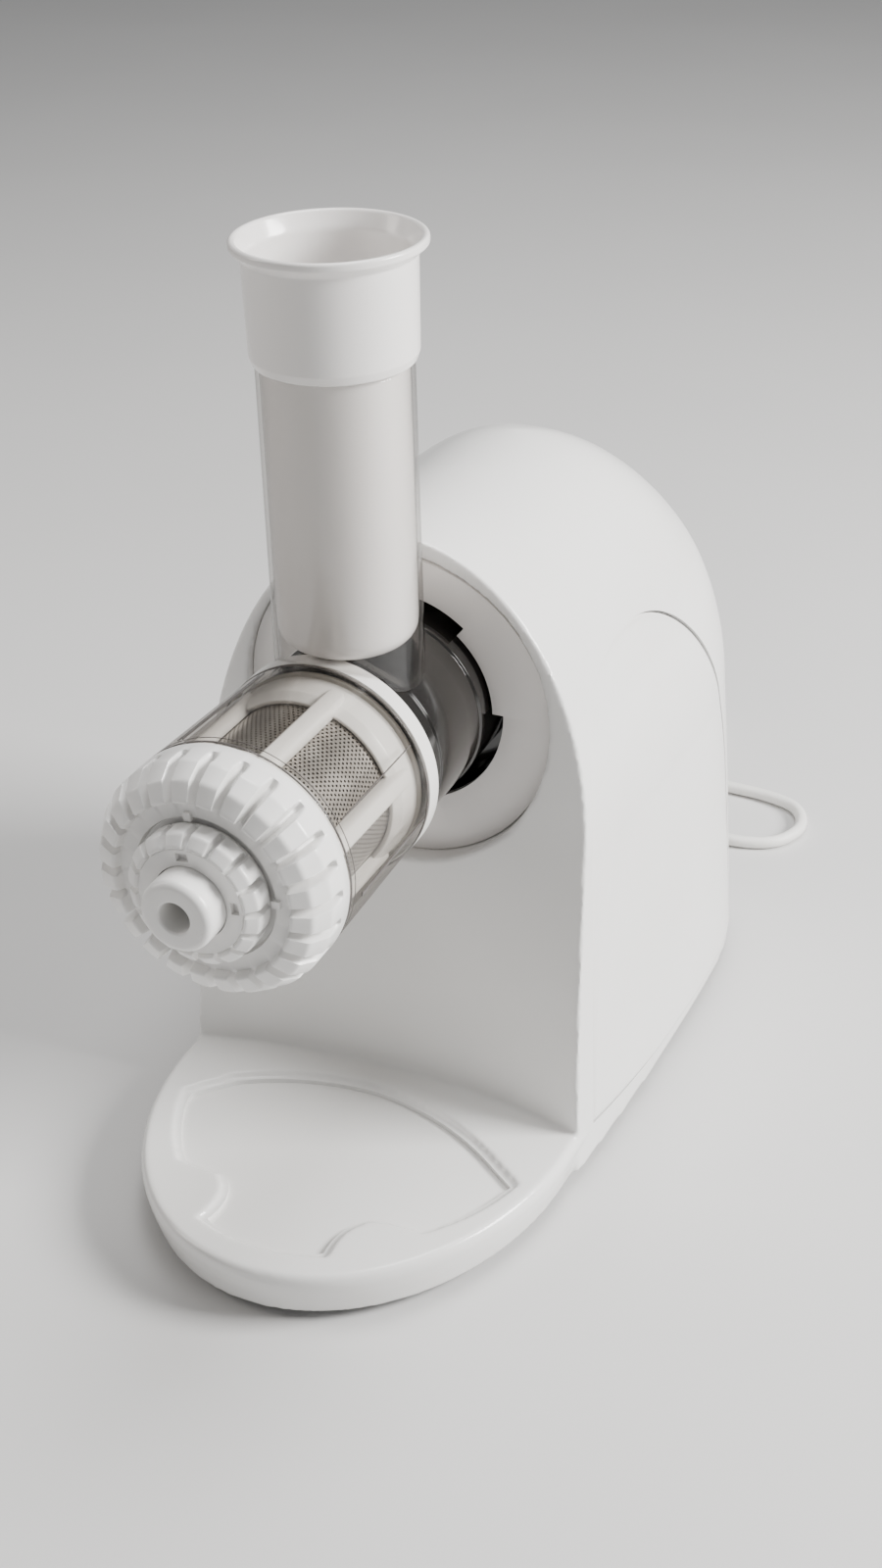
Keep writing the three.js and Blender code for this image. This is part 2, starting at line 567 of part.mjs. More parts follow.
// ---------- switch and lead exit ----------
const bezelFrame = box(-SWITCH.half[0], SWITCH.half[0], SWITCH.y + GAP + 0.4, SWITCH.y + 2.3,
  SWITCH.z - SWITCH.half[1], SWITCH.z + SWITCH.half[1]);
const bezelBody = box(-12.6, 12.6, SWITCH.y - SWITCH.depth, SWITCH.y + 1, SWITCH.z - 8.6, SWITCH.z + 8.6);
const rockerSpace = box(-10.5, 10.5, SWITCH.y - 9.5, SWITCH.y + 5, SWITCH.z - 6.6, SWITCH.z + 6.6);
add('switch_bezel', bezelFrame.add(bezelBody).subtract(rockerSpace), black);
const rockerOutline = [
  [-9.2, SWITCH.y + 3.6], [0, SWITCH.y + 1.4], [9.2, SWITCH.y + 3.6],
  [9.2, SWITCH.y - 1.2], [0, SWITCH.y - 5], [-9.2, SWITCH.y - 1.2],
];
add('switch_rocker', plate(rockerOutline, SWITCH.z - 6.1, SWITCH.z + 6.1), black);

const RELIEF_LENGTH = 20;
const RELIEF_BORE = CORD_R + 0.45;
const relief = turned([
  [RELIEF_BORE, REAR_Y - 6], [7, REAR_Y - 6], [7, REAR_Y - 4.9], [4.9, REAR_Y - 4.8], [4.9, REAR_Y + 0.4],
  [7, REAR_Y + 0.5], [6.6, REAR_Y + 3], [4.2, REAR_Y + RELIEF_LENGTH], [RELIEF_BORE, REAR_Y + RELIEF_LENGTH],
  [RELIEF_BORE, REAR_Y - 6],
], 14, LEAD_EXIT.x, LEAD_EXIT.z);
add('strain_relief', relief, white);

// ---------- drum ----------
const LUG_Y = PLATE_Y + PLATE_T + 0.5;
let drum = ring(DRUM_BORE, DRUM_R, DRUM_FRONT, DRUM_REAR);
for (let i = 0; i < LUGS; i += 1) {
  drum = drum.add(wedge(DRUM_R - 1, 39.4, LUG_Y, LUG_Y + 3.5, 360 / LUGS * i + 42, LUG_SPAN));
}
drum = drum.add(ring(9, DRUM_BORE + 1, DRUM_REAR - 3, DRUM_REAR, INNER_ROUND));
drum = drum.subtract(post(TUBE_R - TUBE_T, AXIS_Z, 250, 0, 0, ROUND));
add('drum_body', drum, black);

const TUBE_BORE = TUBE_R - TUBE_T;
let tube = standing([
  [TUBE_BORE, AXIS_Z + 15], [TUBE_R, AXIS_Z + 15], [TUBE_R, TUBE_TOP], [TUBE_BORE, TUBE_TOP],
  [TUBE_BORE, AXIS_Z + 15],
]);
tube = tube.subtract(rod(DRUM_R + GAP + 0.2, -60, 60, ROUND));
tube = tube.subtract(rod(SLEEVE_R_REAR + 0.7, -60, DRUM_FRONT + 6.4, ROUND));
add('feed_tube', tube, clear);

// ---------- strainer ----------
const strainerParts = [
  ring(MESH_R + GAP, STRAINER_R, DRUM_FRONT - 9, DRUM_FRONT - 2, 24),
  ring(MESH_R + GAP, STRAINER_R, SLEEVE_FRONT + 1, SLEEVE_FRONT + 8, 24),
];
for (let i = 0; i < BARS; i += 1) {
  strainerParts.push(wedge(MESH_R + GAP, STRAINER_R, SLEEVE_FRONT + 5, DRUM_FRONT - 5, 60 * i + 10, 13, 1));
}
add('strainer_frame', union(strainerParts), white);
add('strainer_mesh', ring(MESH_R - MESH_T, MESH_R, SLEEVE_FRONT + 1, DRUM_FRONT - 2, 24), steel);
add('drum_gasket', ring(31, 35.4, DRUM_FRONT - 1.6, DRUM_FRONT - GAP, 24), silicone);

const sleeveProfile = [
  [SLEEVE_R_FRONT - SLEEVE_T, SLEEVE_FRONT], [SLEEVE_R_FRONT, SLEEVE_FRONT], [SLEEVE_R_REAR, DRUM_FRONT - 2],
  [SLEEVE_R_REAR, DRUM_FRONT + 6], [DRUM_R + GAP, DRUM_FRONT + 6], [DRUM_R + GAP, DRUM_FRONT - GAP],
  [SLEEVE_R_REAR - SLEEVE_T, DRUM_FRONT - GAP], [SLEEVE_R_FRONT - SLEEVE_T, SLEEVE_FRONT],
];
const outletSlot = box(-8, 8, -66, -34, AXIS_Z - 50, AXIS_Z - 30);
add('juice_sleeve', turned(sleeveProfile).subtract(outletSlot), clear);

// ---------- screw ----------
const FLIGHT_START = 0.17;         // keeps the flight's facets off the core's
function flight(pitch, y0, y1, inner, outer, thick) {
  const steps = Math.round((y1 - y0) / pitch * 8);
  const vertices = [];
  for (let i = 0; i <= steps; i += 1) {
    const t = i / steps;
    const y = y0 + (y1 - y0) * t;
    const turn = 2 * Math.PI * (y - y0) / pitch + FLIGHT_START;
    const rim = outer(y);
    for (const [r, dy] of [[inner, -thick], [rim, -thick * 0.5], [rim, thick * 0.5], [inner, thick]]) {
      vertices.push(r * Math.cos(turn), y + dy, AXIS_Z + r * Math.sin(turn));
    }
  }
  const index = [];
  for (let i = 0; i < steps; i += 1) {
    for (let k = 0; k < 4; k += 1) {
      const a = 4 * i + k;
      const b = 4 * i + (k + 1) % 4;
      index.push(a, a + 4, b + 4, a, b + 4, b);
    }
  }
  const end = 4 * steps;
  index.push(0, 1, 2, 0, 2, 3, end, end + 2, end + 1, end, end + 3, end + 2);
  const geometry = new THREE.BufferGeometry();
  geometry.setAttribute('position', new THREE.Float32BufferAttribute(vertices, 3));
  geometry.setIndex(index);
  return solid(geometry);
}
const screwRim = (y) => (y > DRUM_FRONT ? DRUM_BORE - 0.8 : MESH_R - MESH_T - 0.8);
const coreProfile = [[0, -97], [8, -97], [9, -92], [20, -84], [14, DRUM_REAR - 3.6], [0, DRUM_REAR - 3.6]];
const core = turned(coreProfile, 14);
let auger = core.add(flight(26, -78, DRUM_REAR - 7, 11, screwRim, 3));
auger = auger.subtract(slab(hexOutline(HEX_R + GAP), 36, 60));
add('auger', auger, black);

// ---------- cap nut, knob, nozzle ----------
let capNut = turned([
  [24, CAP_FACE_Y], [CAP_FACE_R, CAP_FACE_Y], [37, -98], [CAP_R, -88], [CAP_R, SLEEVE_FRONT - GAP],
  [34, SLEEVE_FRONT - GAP], [34, -95], [14.2, -95], [14.2, CAP_FACE_Y + 2], [24, CAP_FACE_Y + 2],
  [24, CAP_FACE_Y],
]);
// The same cut all round the screw axis.
const gripCuts = (cut, count) => union(Array.from({ length: count }, (_, i) => (
  cut.rotate([0, 360 / count * i, 0]).translate([0, 0, AXIS_Z])
)));
capNut = capNut.subtract(gripCuts(box(-1.3, 1.3, -110, -89, 34.5, 45), CAP_GRIPS));
add('cap_nut', capNut, white);

const KNOB_BORE = NOZZLE_R + GAP;
const knob = turned([
  [KNOB_BORE, KNOB_FRONT], [18.2, KNOB_FRONT], [KNOB_R, -105], [KNOB_R, CAP_FACE_Y + 1],
  [KNOB_BORE, CAP_FACE_Y + 1], [KNOB_BORE, KNOB_FRONT],
], KNOB_GRIPS);
add('adjusting_knob', knob.subtract(gripCuts(box(-1.6, 1.6, -115, -104, 19.6, 26), KNOB_GRIPS)), white);

const nozzle = turned([
  [NOZZLE_BORE, NOZZLE_FRONT + 1], [6.2, NOZZLE_FRONT], [10.4, NOZZLE_FRONT], [NOZZLE_R, NOZZLE_FRONT + 2.4],
  [NOZZLE_R, -98.6], [13.8, -98.6], [13.8, -97.4], [NOZZLE_BORE, -97.4], [NOZZLE_BORE, NOZZLE_FRONT + 1],
], 20);
add('nozzle', nozzle, warmWhite);

// ---------- pusher ----------
const pusherProfile = [
  [0, ROD_BOTTOM], [ROD_R - 4, ROD_BOTTOM], [ROD_R, ROD_BOTTOM + 5], [ROD_R, TUBE_TOP + GAP],
  [25.4, TUBE_TOP + GAP], [26.6, TUBE_TOP + 2.4], [PUSHER_R, PUSHER_TOP - 5],
  [PUSHER_LIP_R, PUSHER_TOP - 2.2],
  [PUSHER_LIP_R, PUSHER_TOP - 0.8], [29.6, PUSHER_TOP], [27.6, PUSHER_TOP - 1], [25.4, PUSHER_TOP - 5],
  [24.6, TUBE_TOP + 3], [20, TUBE_TOP + 3], [20, ROD_BOTTOM + 4], [0, ROD_BOTTOM + 4],
];
add('pusher', standing(pusherProfile), white);

// ---------- mains lead ----------
function sweep(points, r) {
  const route = points.map(([x, y, z]) => new THREE.Vector3(x, y, z));
  const curve = new THREE.CatmullRomCurve3(route, false, 'centripetal');
  const section = new THREE.Shape(circle(0, 0, r, 8).map(([x, y]) => new THREE.Vector2(x, y)));
  return solid(new THREE.ExtrudeGeometry(section, {
    steps: Math.round(curve.getLength() / (5 * r)), bevelEnabled: false, extrudePath: curve,
  }));
}
const FLOOR = CORD_R + 0.1;
const LEAD = [
  [0, REAR_Y - 4, LEAD_EXIT.z], [0, REAR_Y + 10, LEAD_EXIT.z], [0, REAR_Y + 20.4, LEAD_EXIT.z],
  [1.7, REAR_Y + 29.6, 15.4], [6.6, REAR_Y + 36.9, 12.6], [13.9, REAR_Y + 41.8, 9.4],
  [22.5, REAR_Y + 43.5, 6.5], [40, REAR_Y + 43, 3.3], [60, REAR_Y + 42.3, FLOOR],
  [75.6, REAR_Y + 48.7, FLOOR], [82, REAR_Y + 64.3, FLOOR], [75.6, REAR_Y + 79.9, FLOOR],
  [60, REAR_Y + 86.3, FLOOR], [40, REAR_Y + 87.8, FLOOR], [20, REAR_Y + 88, FLOOR],
  [0, REAR_Y + 87, FLOOR], [-20, REAR_Y + 86.6, FLOOR],
];
add('cord_lead', sweep(LEAD, CORD_R), white);
const COIL_BOTTOM = 0.1;
const coilRing = [
  [COIL.inner, COIL_BOTTOM], [COIL.outer, COIL_BOTTOM], [COIL.outer, COIL.height], [COIL.inner, COIL.height],
  [COIL.inner, COIL_BOTTOM],
];
add('cord_coil', standing(coilRing, ROUND, COIL.x, COIL.y), white);
const TIE_W = 4;
const tieY = [COIL.y + COIL.inner - 2.2, COIL.y + COIL.outer + 1.4];
const tie = box(COIL.x - TIE_W, COIL.x + TIE_W, tieY[0], tieY[1], 0.3, COIL.height + 1.4);
const insideTie = box(COIL.x - 9, COIL.x + 9, tieY[0] + 1, tieY[1] - 1, -1, COIL.height + 0.4);
add('cord_tie', tie.subtract(insideTie), black);

const PLUG = { x: COIL.x - 47, y: COIL.y - 56.2, z: 7, length: 34, pinLength: 19, pinSpread: 9 };
const plugOutline = [
  [-4.5, 0], [4.5, 0], [6, -9], [13, -22], [13, -PLUG.length], [-13, -PLUG.length], [-13, -22], [-6, -9],
].map(([x, y]) => [PLUG.x + x, PLUG.y + y]);
add('plug_body', plate(plugOutline, PLUG.z - 6.8, PLUG.z + 6.8), white);
const pinTip = PLUG.y - PLUG.length - GAP - PLUG.pinLength;
const pinEnd = pinTip + PLUG.pinLength;
const pinProfile = [[0, pinTip], [1.2, pinTip], [2, pinTip + 1.5], [2, pinEnd], [0, pinEnd]];
const pin = (side) => turned(pinProfile, INNER_ROUND, PLUG.x + side * PLUG.pinSpread, PLUG.z);
add('plug_pin_left', pin(-1), brightSteel);
add('plug_pin_right', pin(1), brightSteel);
const TAIL = [
  [COIL.x - 25, COIL.y - 33.5, 7.8], [COIL.x - 36, COIL.y - 36.4, 6.4],
  [COIL.x - 44.1, COIL.y - 44.5, 6.2], [COIL.x - 47, COIL.y - 55.5, PLUG.z],
];
add('cord_tail', sweep(TAIL, CORD_R), white);

export default root;
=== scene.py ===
"""Slow juicer with one horizontal screw: the looks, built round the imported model.

Lengths are in millimetres, and y is measured from the feed tube's axis. put() turns both into the frame's
metres. Outlines are lists of corners, and filleted() rounds each corner by the radius that it names.
"""
import json
import math

import bmesh
import bpy
from mathutils import Matrix, Vector


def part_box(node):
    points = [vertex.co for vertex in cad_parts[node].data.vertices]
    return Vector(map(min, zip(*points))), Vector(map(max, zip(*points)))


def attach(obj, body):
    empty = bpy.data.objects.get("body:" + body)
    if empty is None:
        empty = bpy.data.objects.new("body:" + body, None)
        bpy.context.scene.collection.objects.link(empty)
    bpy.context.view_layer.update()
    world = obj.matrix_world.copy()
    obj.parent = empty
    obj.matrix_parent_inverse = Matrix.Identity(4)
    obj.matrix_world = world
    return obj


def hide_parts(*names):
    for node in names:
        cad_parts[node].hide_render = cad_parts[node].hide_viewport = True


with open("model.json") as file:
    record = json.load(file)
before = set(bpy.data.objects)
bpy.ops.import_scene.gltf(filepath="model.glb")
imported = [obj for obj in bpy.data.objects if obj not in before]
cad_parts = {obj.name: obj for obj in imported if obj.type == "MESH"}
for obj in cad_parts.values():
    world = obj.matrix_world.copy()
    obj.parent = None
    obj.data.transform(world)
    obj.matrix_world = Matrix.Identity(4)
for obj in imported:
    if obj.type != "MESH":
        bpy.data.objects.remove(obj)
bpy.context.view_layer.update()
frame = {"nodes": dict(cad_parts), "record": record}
MM = 0.001
GAP = 0.3


def centre(node):
    low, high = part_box(node)
    return (low + high) / 2 / MM


FEED_Y = centre("feed_tube").y
AXIS_Z = centre("drum_gasket").z


def put(x, y, z):
    return Vector((x * MM, (y + FEED_Y) * MM, z * MM))


# ---------- camera and lights ----------
CAMERA_POINT = Vector((0.31055, -0.62865, 0.53424))
CAMERA_AZIMUTH, CAMERA_ELEVATION, CAMERA_ROLL = 25.62, 29.93, -1.70
CAMERA_LENS = 50.72


def make_camera():
    azimuth, elevation, roll = (math.radians(a) for a in (CAMERA_AZIMUTH, CAMERA_ELEVATION, CAMERA_ROLL))
    back = Vector((
        math.sin(azimuth) * math.cos(elevation),
        -math.cos(azimuth) * math.cos(elevation),
        math.sin(elevation),
    ))
    level = Vector((math.cos(azimuth), math.sin(azimuth), 0))
    above = back.cross(level)
    right = level * math.cos(roll) + above * math.sin(roll)
    up = above * math.cos(roll) - level * math.sin(roll)
    data = bpy.data.cameras.new("camera")
    data.lens = CAMERA_LENS
    data.sensor_width = 36
    camera = bpy.data.objects.new("camera", data)
    bpy.context.scene.collection.objects.link(camera)
    turn = Matrix((right, up, back)).transposed()
    camera.matrix_world = Matrix.Translation(CAMERA_POINT) @ turn.to_4x4()
    bpy.context.scene.camera = camera


def make_light(name, place, size, watts, colour=(1, 1, 1)):
    data = bpy.data.lights.new(name, "AREA")
    data.shape = "RECTANGLE"
    data.size, data.size_y = size
    data.energy = watts
    data.color = colour
    light = bpy.data.objects.new(name, data)
    bpy.context.scene.collection.objects.link(light)
    light.location = place
    light.rotation_euler = (Vector((0, 0, 0.15)) - Vector(place)).to_track_quat("-Z", "Y").to_euler()


# ---------- mains lead: the route of the CAD's cord, with its turns laid one by one ----------
REAR_Y = 213.4
CORD_R, CORD_LENGTH = 2.75, 1.09
FLOOR_LINE, TOP_LINE = 2.85, 8.45
COIL_X, COIL_Y = -22, REAR_Y + 128
COIL_TURNS, STEPS_PER_TURN = 4, 60
LEAD = [
    (0, REAR_Y - 4, 17), (0, REAR_Y + 10, 17), (0, REAR_Y + 20.4, 17), (1.7, REAR_Y + 29.6, 15.4),
    (6.6, REAR_Y + 36.9, 12.6), (13.9, REAR_Y + 41.8, 9.4), (22.5, REAR_Y + 43.5, 6.5),
    (40, REAR_Y + 43, 3.3), (60, REAR_Y + 42.3, FLOOR_LINE), (75.6, REAR_Y + 48.7, FLOOR_LINE),
    (82, REAR_Y + 64.3, FLOOR_LINE), (75.6, REAR_Y + 79.9, FLOOR_LINE), (60, REAR_Y + 86.3, FLOOR_LINE),
    (40, REAR_Y + 87.8, FLOOR_LINE), (20, REAR_Y + 88, FLOOR_LINE), (0, REAR_Y + 87, FLOOR_LINE),
    (-21, REAR_Y + 86.6, FLOOR_LINE),
]
TAIL = [
    (COIL_X - 12, COIL_Y - 32.9, 8.4), (COIL_X - 25, COIL_Y - 33.5, 7.8), (COIL_X - 36, COIL_Y - 36.4, 6.4),
    (COIL_X - 44.1, COIL_Y - 44.5, 6.2), (COIL_X - 47, COIL_Y - 55.9, 7),
]
# Each step is (turn it starts at, turn it ends at, new value), and between steps the value stays.
COIL_START_R = 41.4
COIL_RADII = [(0, 0.45, 35.6), (1, 1.45, 29.95), (2, 2.45, 24.3), (2.9, 3.15, 27.1), (3.25, 3.65, 32.8)]
COIL_HEIGHTS = [(2.7, 3.0, TOP_LINE)]


def stepped(turns, value, steps):
    for start, end, goal in steps:
        share = min(1.0, max(0.0, (turns - start) / (end - start)))
        value += (goal - value) * share * share * (3 - 2 * share)
    return value


def spline_value(t, p, q, r, s):
    """The Catmull-Rom curve's value from q to r at share t, with p before and s after them."""
    square = 2 * p - 5 * q + 4 * r - s
    cube = 3 * q - p - 3 * r + s
    return 0.5 * (2 * q + (r - p) * t + square * t * t + cube * t ** 3)


def through(points, steps=8):
    """A smooth line through given points."""
    ends = [points[0], *points, points[-1]]
    line = []
    for a, b, c, d in zip(ends, ends[1:], ends[2:], ends[3:]):
        for i in range(steps):
            t = i / steps
            line.append(tuple(spline_value(t, *row) for row in zip(a, b, c, d)))
    return [*line, points[-1]]


def cord_route():
    turns = [k / STEPS_PER_TURN for k in range(1, COIL_TURNS * STEPS_PER_TURN + 1)]
    coil = []
    for turn in turns:
        r = stepped(turn, COIL_START_R, COIL_RADII)
        angle = -math.pi / 2 - 2 * math.pi * turn
        z = stepped(turn, FLOOR_LINE, COIL_HEIGHTS)
        coil.append((COIL_X + r * math.cos(angle), COIL_Y + r * math.sin(angle), z))
    return through(LEAD) + coil + through([coil[-1], *TAIL])[1:]


def make_cord():
    route = cord_route()
    data = bpy.data.curves.new("mains_lead", "CURVE")
    data.dimensions = "3D"
    line = data.splines.new("POLY")
    line.points.add(len(route) - 1)
    for point, place in zip(line.points, route):
        point.co = (*put(*place), 1)
    data.bevel_depth = CORD_R * MM
    data.bevel_resolution = 5
    data.use_fill_caps = True
    data.materials.append(CORD_WHITE)
    lead = bpy.data.objects.new("mains_lead", data)
    bpy.context.scene.collection.objects.link(lead)
    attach(lead, "base")
    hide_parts("cord_lead", "cord_coil", "cord_tail")


# ---------- materials ----------
COAT_ROUGHNESS, ROUGH_SPREAD = 0.08, 0.06
GRAIN_SCALE, GRAIN_HEIGHT = 900, 0.0002
SHADE_OF_TINT = 0.96


def new_material(name, colour, roughness, metallic=0.0, coat=0.0, tint=None, scale=60.0, bump=0.0):
    """A shader whose colour wanders between two tones, with uneven gloss and a fine bump."""
    material = bpy.data.materials.new(name)
    material.use_nodes = True
    nodes, links = material.node_tree.nodes, material.node_tree.links
    shader = nodes["Principled BSDF"]
    shader.inputs["Metallic"].default_value = metallic
    shader.inputs["Coat Weight"].default_value = coat
    shader.inputs["Coat Roughness"].default_value = COAT_ROUGHNESS
    place = nodes.new("ShaderNodeTexCoord").outputs["Object"]
    cloud = nodes.new("ShaderNodeTexNoise")
    cloud.inputs["Scale"].default_value = scale
    cloud.inputs["Detail"].default_value = 5
    links.new(place, cloud.inputs["Vector"])
    ramp = nodes.new("ShaderNodeValToRGB")
    ramp.color_ramp.elements[0].position = 0.35
    ramp.color_ramp.elements[0].color = (*(tint or [c * SHADE_OF_TINT for c in colour]), 1)
    ramp.color_ramp.elements[1].position = 0.65
    ramp.color_ramp.elements[1].color = (*colour, 1)
    links.new(cloud.outputs["Fac"], ramp.inputs["Fac"])
    links.new(ramp.outputs["Color"], shader.inputs["Base Color"])
    gloss = nodes.new("ShaderNodeMapRange")
    gloss.inputs["To Min"].default_value = max(0.02, roughness - ROUGH_SPREAD)
    gloss.inputs["To Max"].default_value = roughness + ROUGH_SPREAD
    links.new(cloud.outputs["Fac"], gloss.inputs["Value"])
    links.new(gloss.outputs["Result"], shader.inputs["Roughness"])
    if bump:
        grain = nodes.new("ShaderNodeTexNoise")
        grain.inputs["Scale"].default_value = GRAIN_SCALE
        links.new(place, grain.inputs["Vector"])
        relief = nodes.new("ShaderNodeBump")
        relief.inputs["Strength"].default_value = bump
        relief.inputs["Distance"].default_value = GRAIN_HEIGHT
        links.new(grain.outputs["Fac"], relief.inputs["Height"])
        links.new(relief.outputs["Normal"], shader.inputs["Normal"])
    return material


STRAIGHT_MIRROR, GRAZING_MIRROR, SCHLICK_POWER = 0.04, 0.7, 5


def clear_material(name, see_through, edge, rim):
    """Clear plastic: it lets light through, darkens towards its edges and mirrors more at a slant.

    Both sides of a wall mirror alike, so that light is never shut inside it.
    """
    material = bpy.data.materials.new(name)
    material.use_nodes = True
    nodes, links = material.node_tree.nodes, material.node_tree.links
    nodes.remove(nodes["Principled BSDF"])
    facing = nodes.new("ShaderNodeLayerWeight")
    facing.inputs["Blend"].default_value = 0.5
    edge_share = nodes.new("ShaderNodeMath")
    edge_share.operation = "POWER"
    edge_share.inputs[1].default_value = rim
    links.new(facing.outputs["Facing"], edge_share.inputs[0])
    tone = nodes.new("ShaderNodeMixRGB")
    tone.inputs["Color1"].default_value = (*see_through, 1)
    tone.inputs["Color2"].default_value = (*edge, 1)
    links.new(edge_share.outputs["Value"], tone.inputs["Fac"])
    through = nodes.new("ShaderNodeBsdfTransparent")
    links.new(tone.outputs["Color"], through.inputs["Color"])
    mirror = nodes.new("ShaderNodeBsdfGlossy")
    smear = nodes.new("ShaderNodeTexNoise")
    smear.inputs["Scale"].default_value = 35
    links.new(nodes.new("ShaderNodeTexCoord").outputs["Object"], smear.inputs["Vector"])
    dull = nodes.new("ShaderNodeMapRange")
    dull.inputs["To Min"].default_value = 0.02
    dull.inputs["To Max"].default_value = 0.16
    links.new(smear.outputs["Fac"], dull.inputs["Value"])
    links.new(dull.outputs["Result"], mirror.inputs["Roughness"])
    glance = nodes.new("ShaderNodeMath")
    glance.operation = "POWER"
    glance.inputs[1].default_value = SCHLICK_POWER
    links.new(facing.outputs["Facing"], glance.inputs[0])
    mirrored = nodes.new("ShaderNodeMapRange")
    mirrored.inputs["To Min"].default_value = STRAIGHT_MIRROR
    mirrored.inputs["To Max"].default_value = GRAZING_MIRROR
    links.new(glance.outputs["Value"], mirrored.inputs["Value"])
    mix = nodes.new("ShaderNodeMixShader")
    links.new(mirrored.outputs["Result"], mix.inputs["Fac"])
    links.new(through.outputs["BSDF"], mix.inputs[1])
    links.new(mirror.outputs["BSDF"], mix.inputs[2])
    links.new(mix.outputs["Shader"], nodes["Material Output"].inputs["Surface"])
    return material


WHITE = new_material(
    "body_white", (0.86, 0.855, 0.84), 0.24, coat=0.3,
    tint=(0.84, 0.83, 0.81), scale=14, bump=0.04,
)
TRIM = new_material(
    "trim_white", (0.85, 0.835, 0.81), 0.3, coat=0.15,
    tint=(0.83, 0.81, 0.78), scale=18, bump=0.05,
)
PLATE = new_material(
    "plate_white", (0.83, 0.80, 0.775), 0.32, coat=0.1,
    tint=(0.80, 0.765, 0.735), scale=16, bump=0.05,
)
NUT_WHITE = new_material(
    "nut_white", (0.87, 0.86, 0.845), 0.3, coat=0.2,
    tint=(0.84, 0.83, 0.81), scale=45, bump=0.06,
)
PUSHER_WHITE = new_material(
    "pusher_white", (0.86, 0.84, 0.82), 0.22, coat=0.35,
    tint=(0.85, 0.82, 0.80), scale=22,
)
BLACK = new_material(
    "black_gloss", (0.012, 0.011, 0.010), 0.12, coat=0.6,
    tint=(0.022, 0.019, 0.017), scale=28,
)
CLEAR = clear_material("clear_sleeve", (0.97, 0.965, 0.955), (0.62, 0.59, 0.56), 2.4)
TUBE_CLEAR = clear_material("clear_tube", (0.97, 0.965, 0.96), (0.60, 0.585, 0.57), 3.0)
# dark lines on the clear sleeve, painted as the shade in its ribs and edges
LINE_PAINTED_SHADE = new_material("painted_line_shade", (0.13, 0.12, 0.115), 0.2, tint=(0.09, 0.08, 0.075), scale=90)
SIEVE = new_material(
    "sieve_steel", (0.52, 0.49, 0.455), 0.34, metallic=0.85,
    tint=(0.45, 0.415, 0.38), scale=120,
)
STEEL = new_material("machined_steel", (0.62, 0.62, 0.61), 0.28, metallic=1.0, scale=300)
IRON = new_material("laminated_steel", (0.30, 0.30, 0.31), 0.45, metallic=1.0, scale=400, bump=0.3)
COPPER = new_material("copper_winding", (0.62, 0.33, 0.16), 0.35, metallic=1.0, scale=500, bump=0.5)
GREY = new_material("grey_plastic", (0.45, 0.46, 0.47), 0.5, bump=0.2)
RUBBER = new_material("rubber_black", (0.05, 0.05, 0.05), 0.75, bump=0.3)
SILICONE = new_material("silicone", (0.74, 0.71, 0.66), 0.5, scale=80)
# grey painted on the side covers' rims as the shade in the groove round them
GROOVE_PAINTED_SHADE = new_material("painted_groove_shade", (0.30, 0.295, 0.29), 0.6, tint=(0.26, 0.255, 0.25), scale=40)
NYLON = new_material("gear_nylon", (0.85, 0.83, 0.76), 0.5, scale=80)
CORD_WHITE = new_material("cord_white", (0.83, 0.82, 0.79), 0.45, scale=70, bump=0.1)
SLOT_MATERIALS = {
    "body_white": WHITE, "trim_white": TRIM, "black_gloss": BLACK, "clear_plastic": CLEAR,
    "sieve_steel": SIEVE, "machined_steel": STEEL, "grey_plastic": GREY, "rubber_black": RUBBER,
    "silicone": SILICONE, "laminated_steel": IRON, "copper_winding": COPPER, "gear_nylon": NYLON,
    "cord_white": CORD_WHITE,
}


# ---------- mesh helpers ----------
def new_object(name, points, faces):
    """A mesh object from points in local millimetres, with its normals facing out."""
    mesh = bpy.data.meshes.new(name)
    mesh.from_pydata([put(*p) for p in points], [], faces)
    return tidied(name, mesh)


def tidied(name, mesh):
    """An object of the mesh with its doubled points merged and its normals facing out."""
    form = bmesh.new()
    form.from_mesh(mesh)
    bmesh.ops.remove_doubles(form, verts=form.verts, dist=1e-7)
    bmesh.ops.recalc_face_normals(form, faces=form.faces)
    form.to_mesh(mesh)
    form.free()
    piece = bpy.data.objects.new(name, mesh)
    bpy.context.scene.collection.objects.link(piece)
    return piece


def settle(piece):
    """Applies a piece's modifiers to its mesh."""
    evaluated = piece.evaluated_get(bpy.context.evaluated_depsgraph_get())
    mesh = bpy.data.meshes.new_from_object(evaluated)
    piece.modifiers.clear()
    piece.data = mesh
    return piece


def combine(piece, other, operation):
    """Cuts, joins or meets piece with other, which is used up."""
    step = piece.modifiers.new("combine", "BOOLEAN")
    step.solver = "MANIFOLD"
    step.operation = operation
    step.object = other
    settle(piece)
    bpy.data.objects.remove(other)
    return piece


def cut(piece, other):
    return combine(piece, other, "DIFFERENCE")


def join(piece, other):
    return combine(piece, other, "UNION")


def soften(piece, width, segments=2, angle=35):
    """Rounds the sharp edges of a piece."""
    step = piece.modifiers.new("soften", "BEVEL")
    step.width = width * MM
    step.segments = segments
    step.limit_method = "ANGLE"
    step.angle_limit = math.radians(angle)
    step.harden_normals = False
    return settle(piece)


def finish_piece(piece, material, body, slot, *nodes, sharp=38):
    """Gives a piece its material, shading and body, and hides the CAD nodes that it stands for."""
    piece.data.materials.clear()
    piece.data.materials.append(material)
    piece.data.shade_smooth()
    piece.data.set_sharp_from_angle(angle=math.radians(sharp))
    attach(piece, body)
    if nodes:
        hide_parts(*nodes)
    return piece


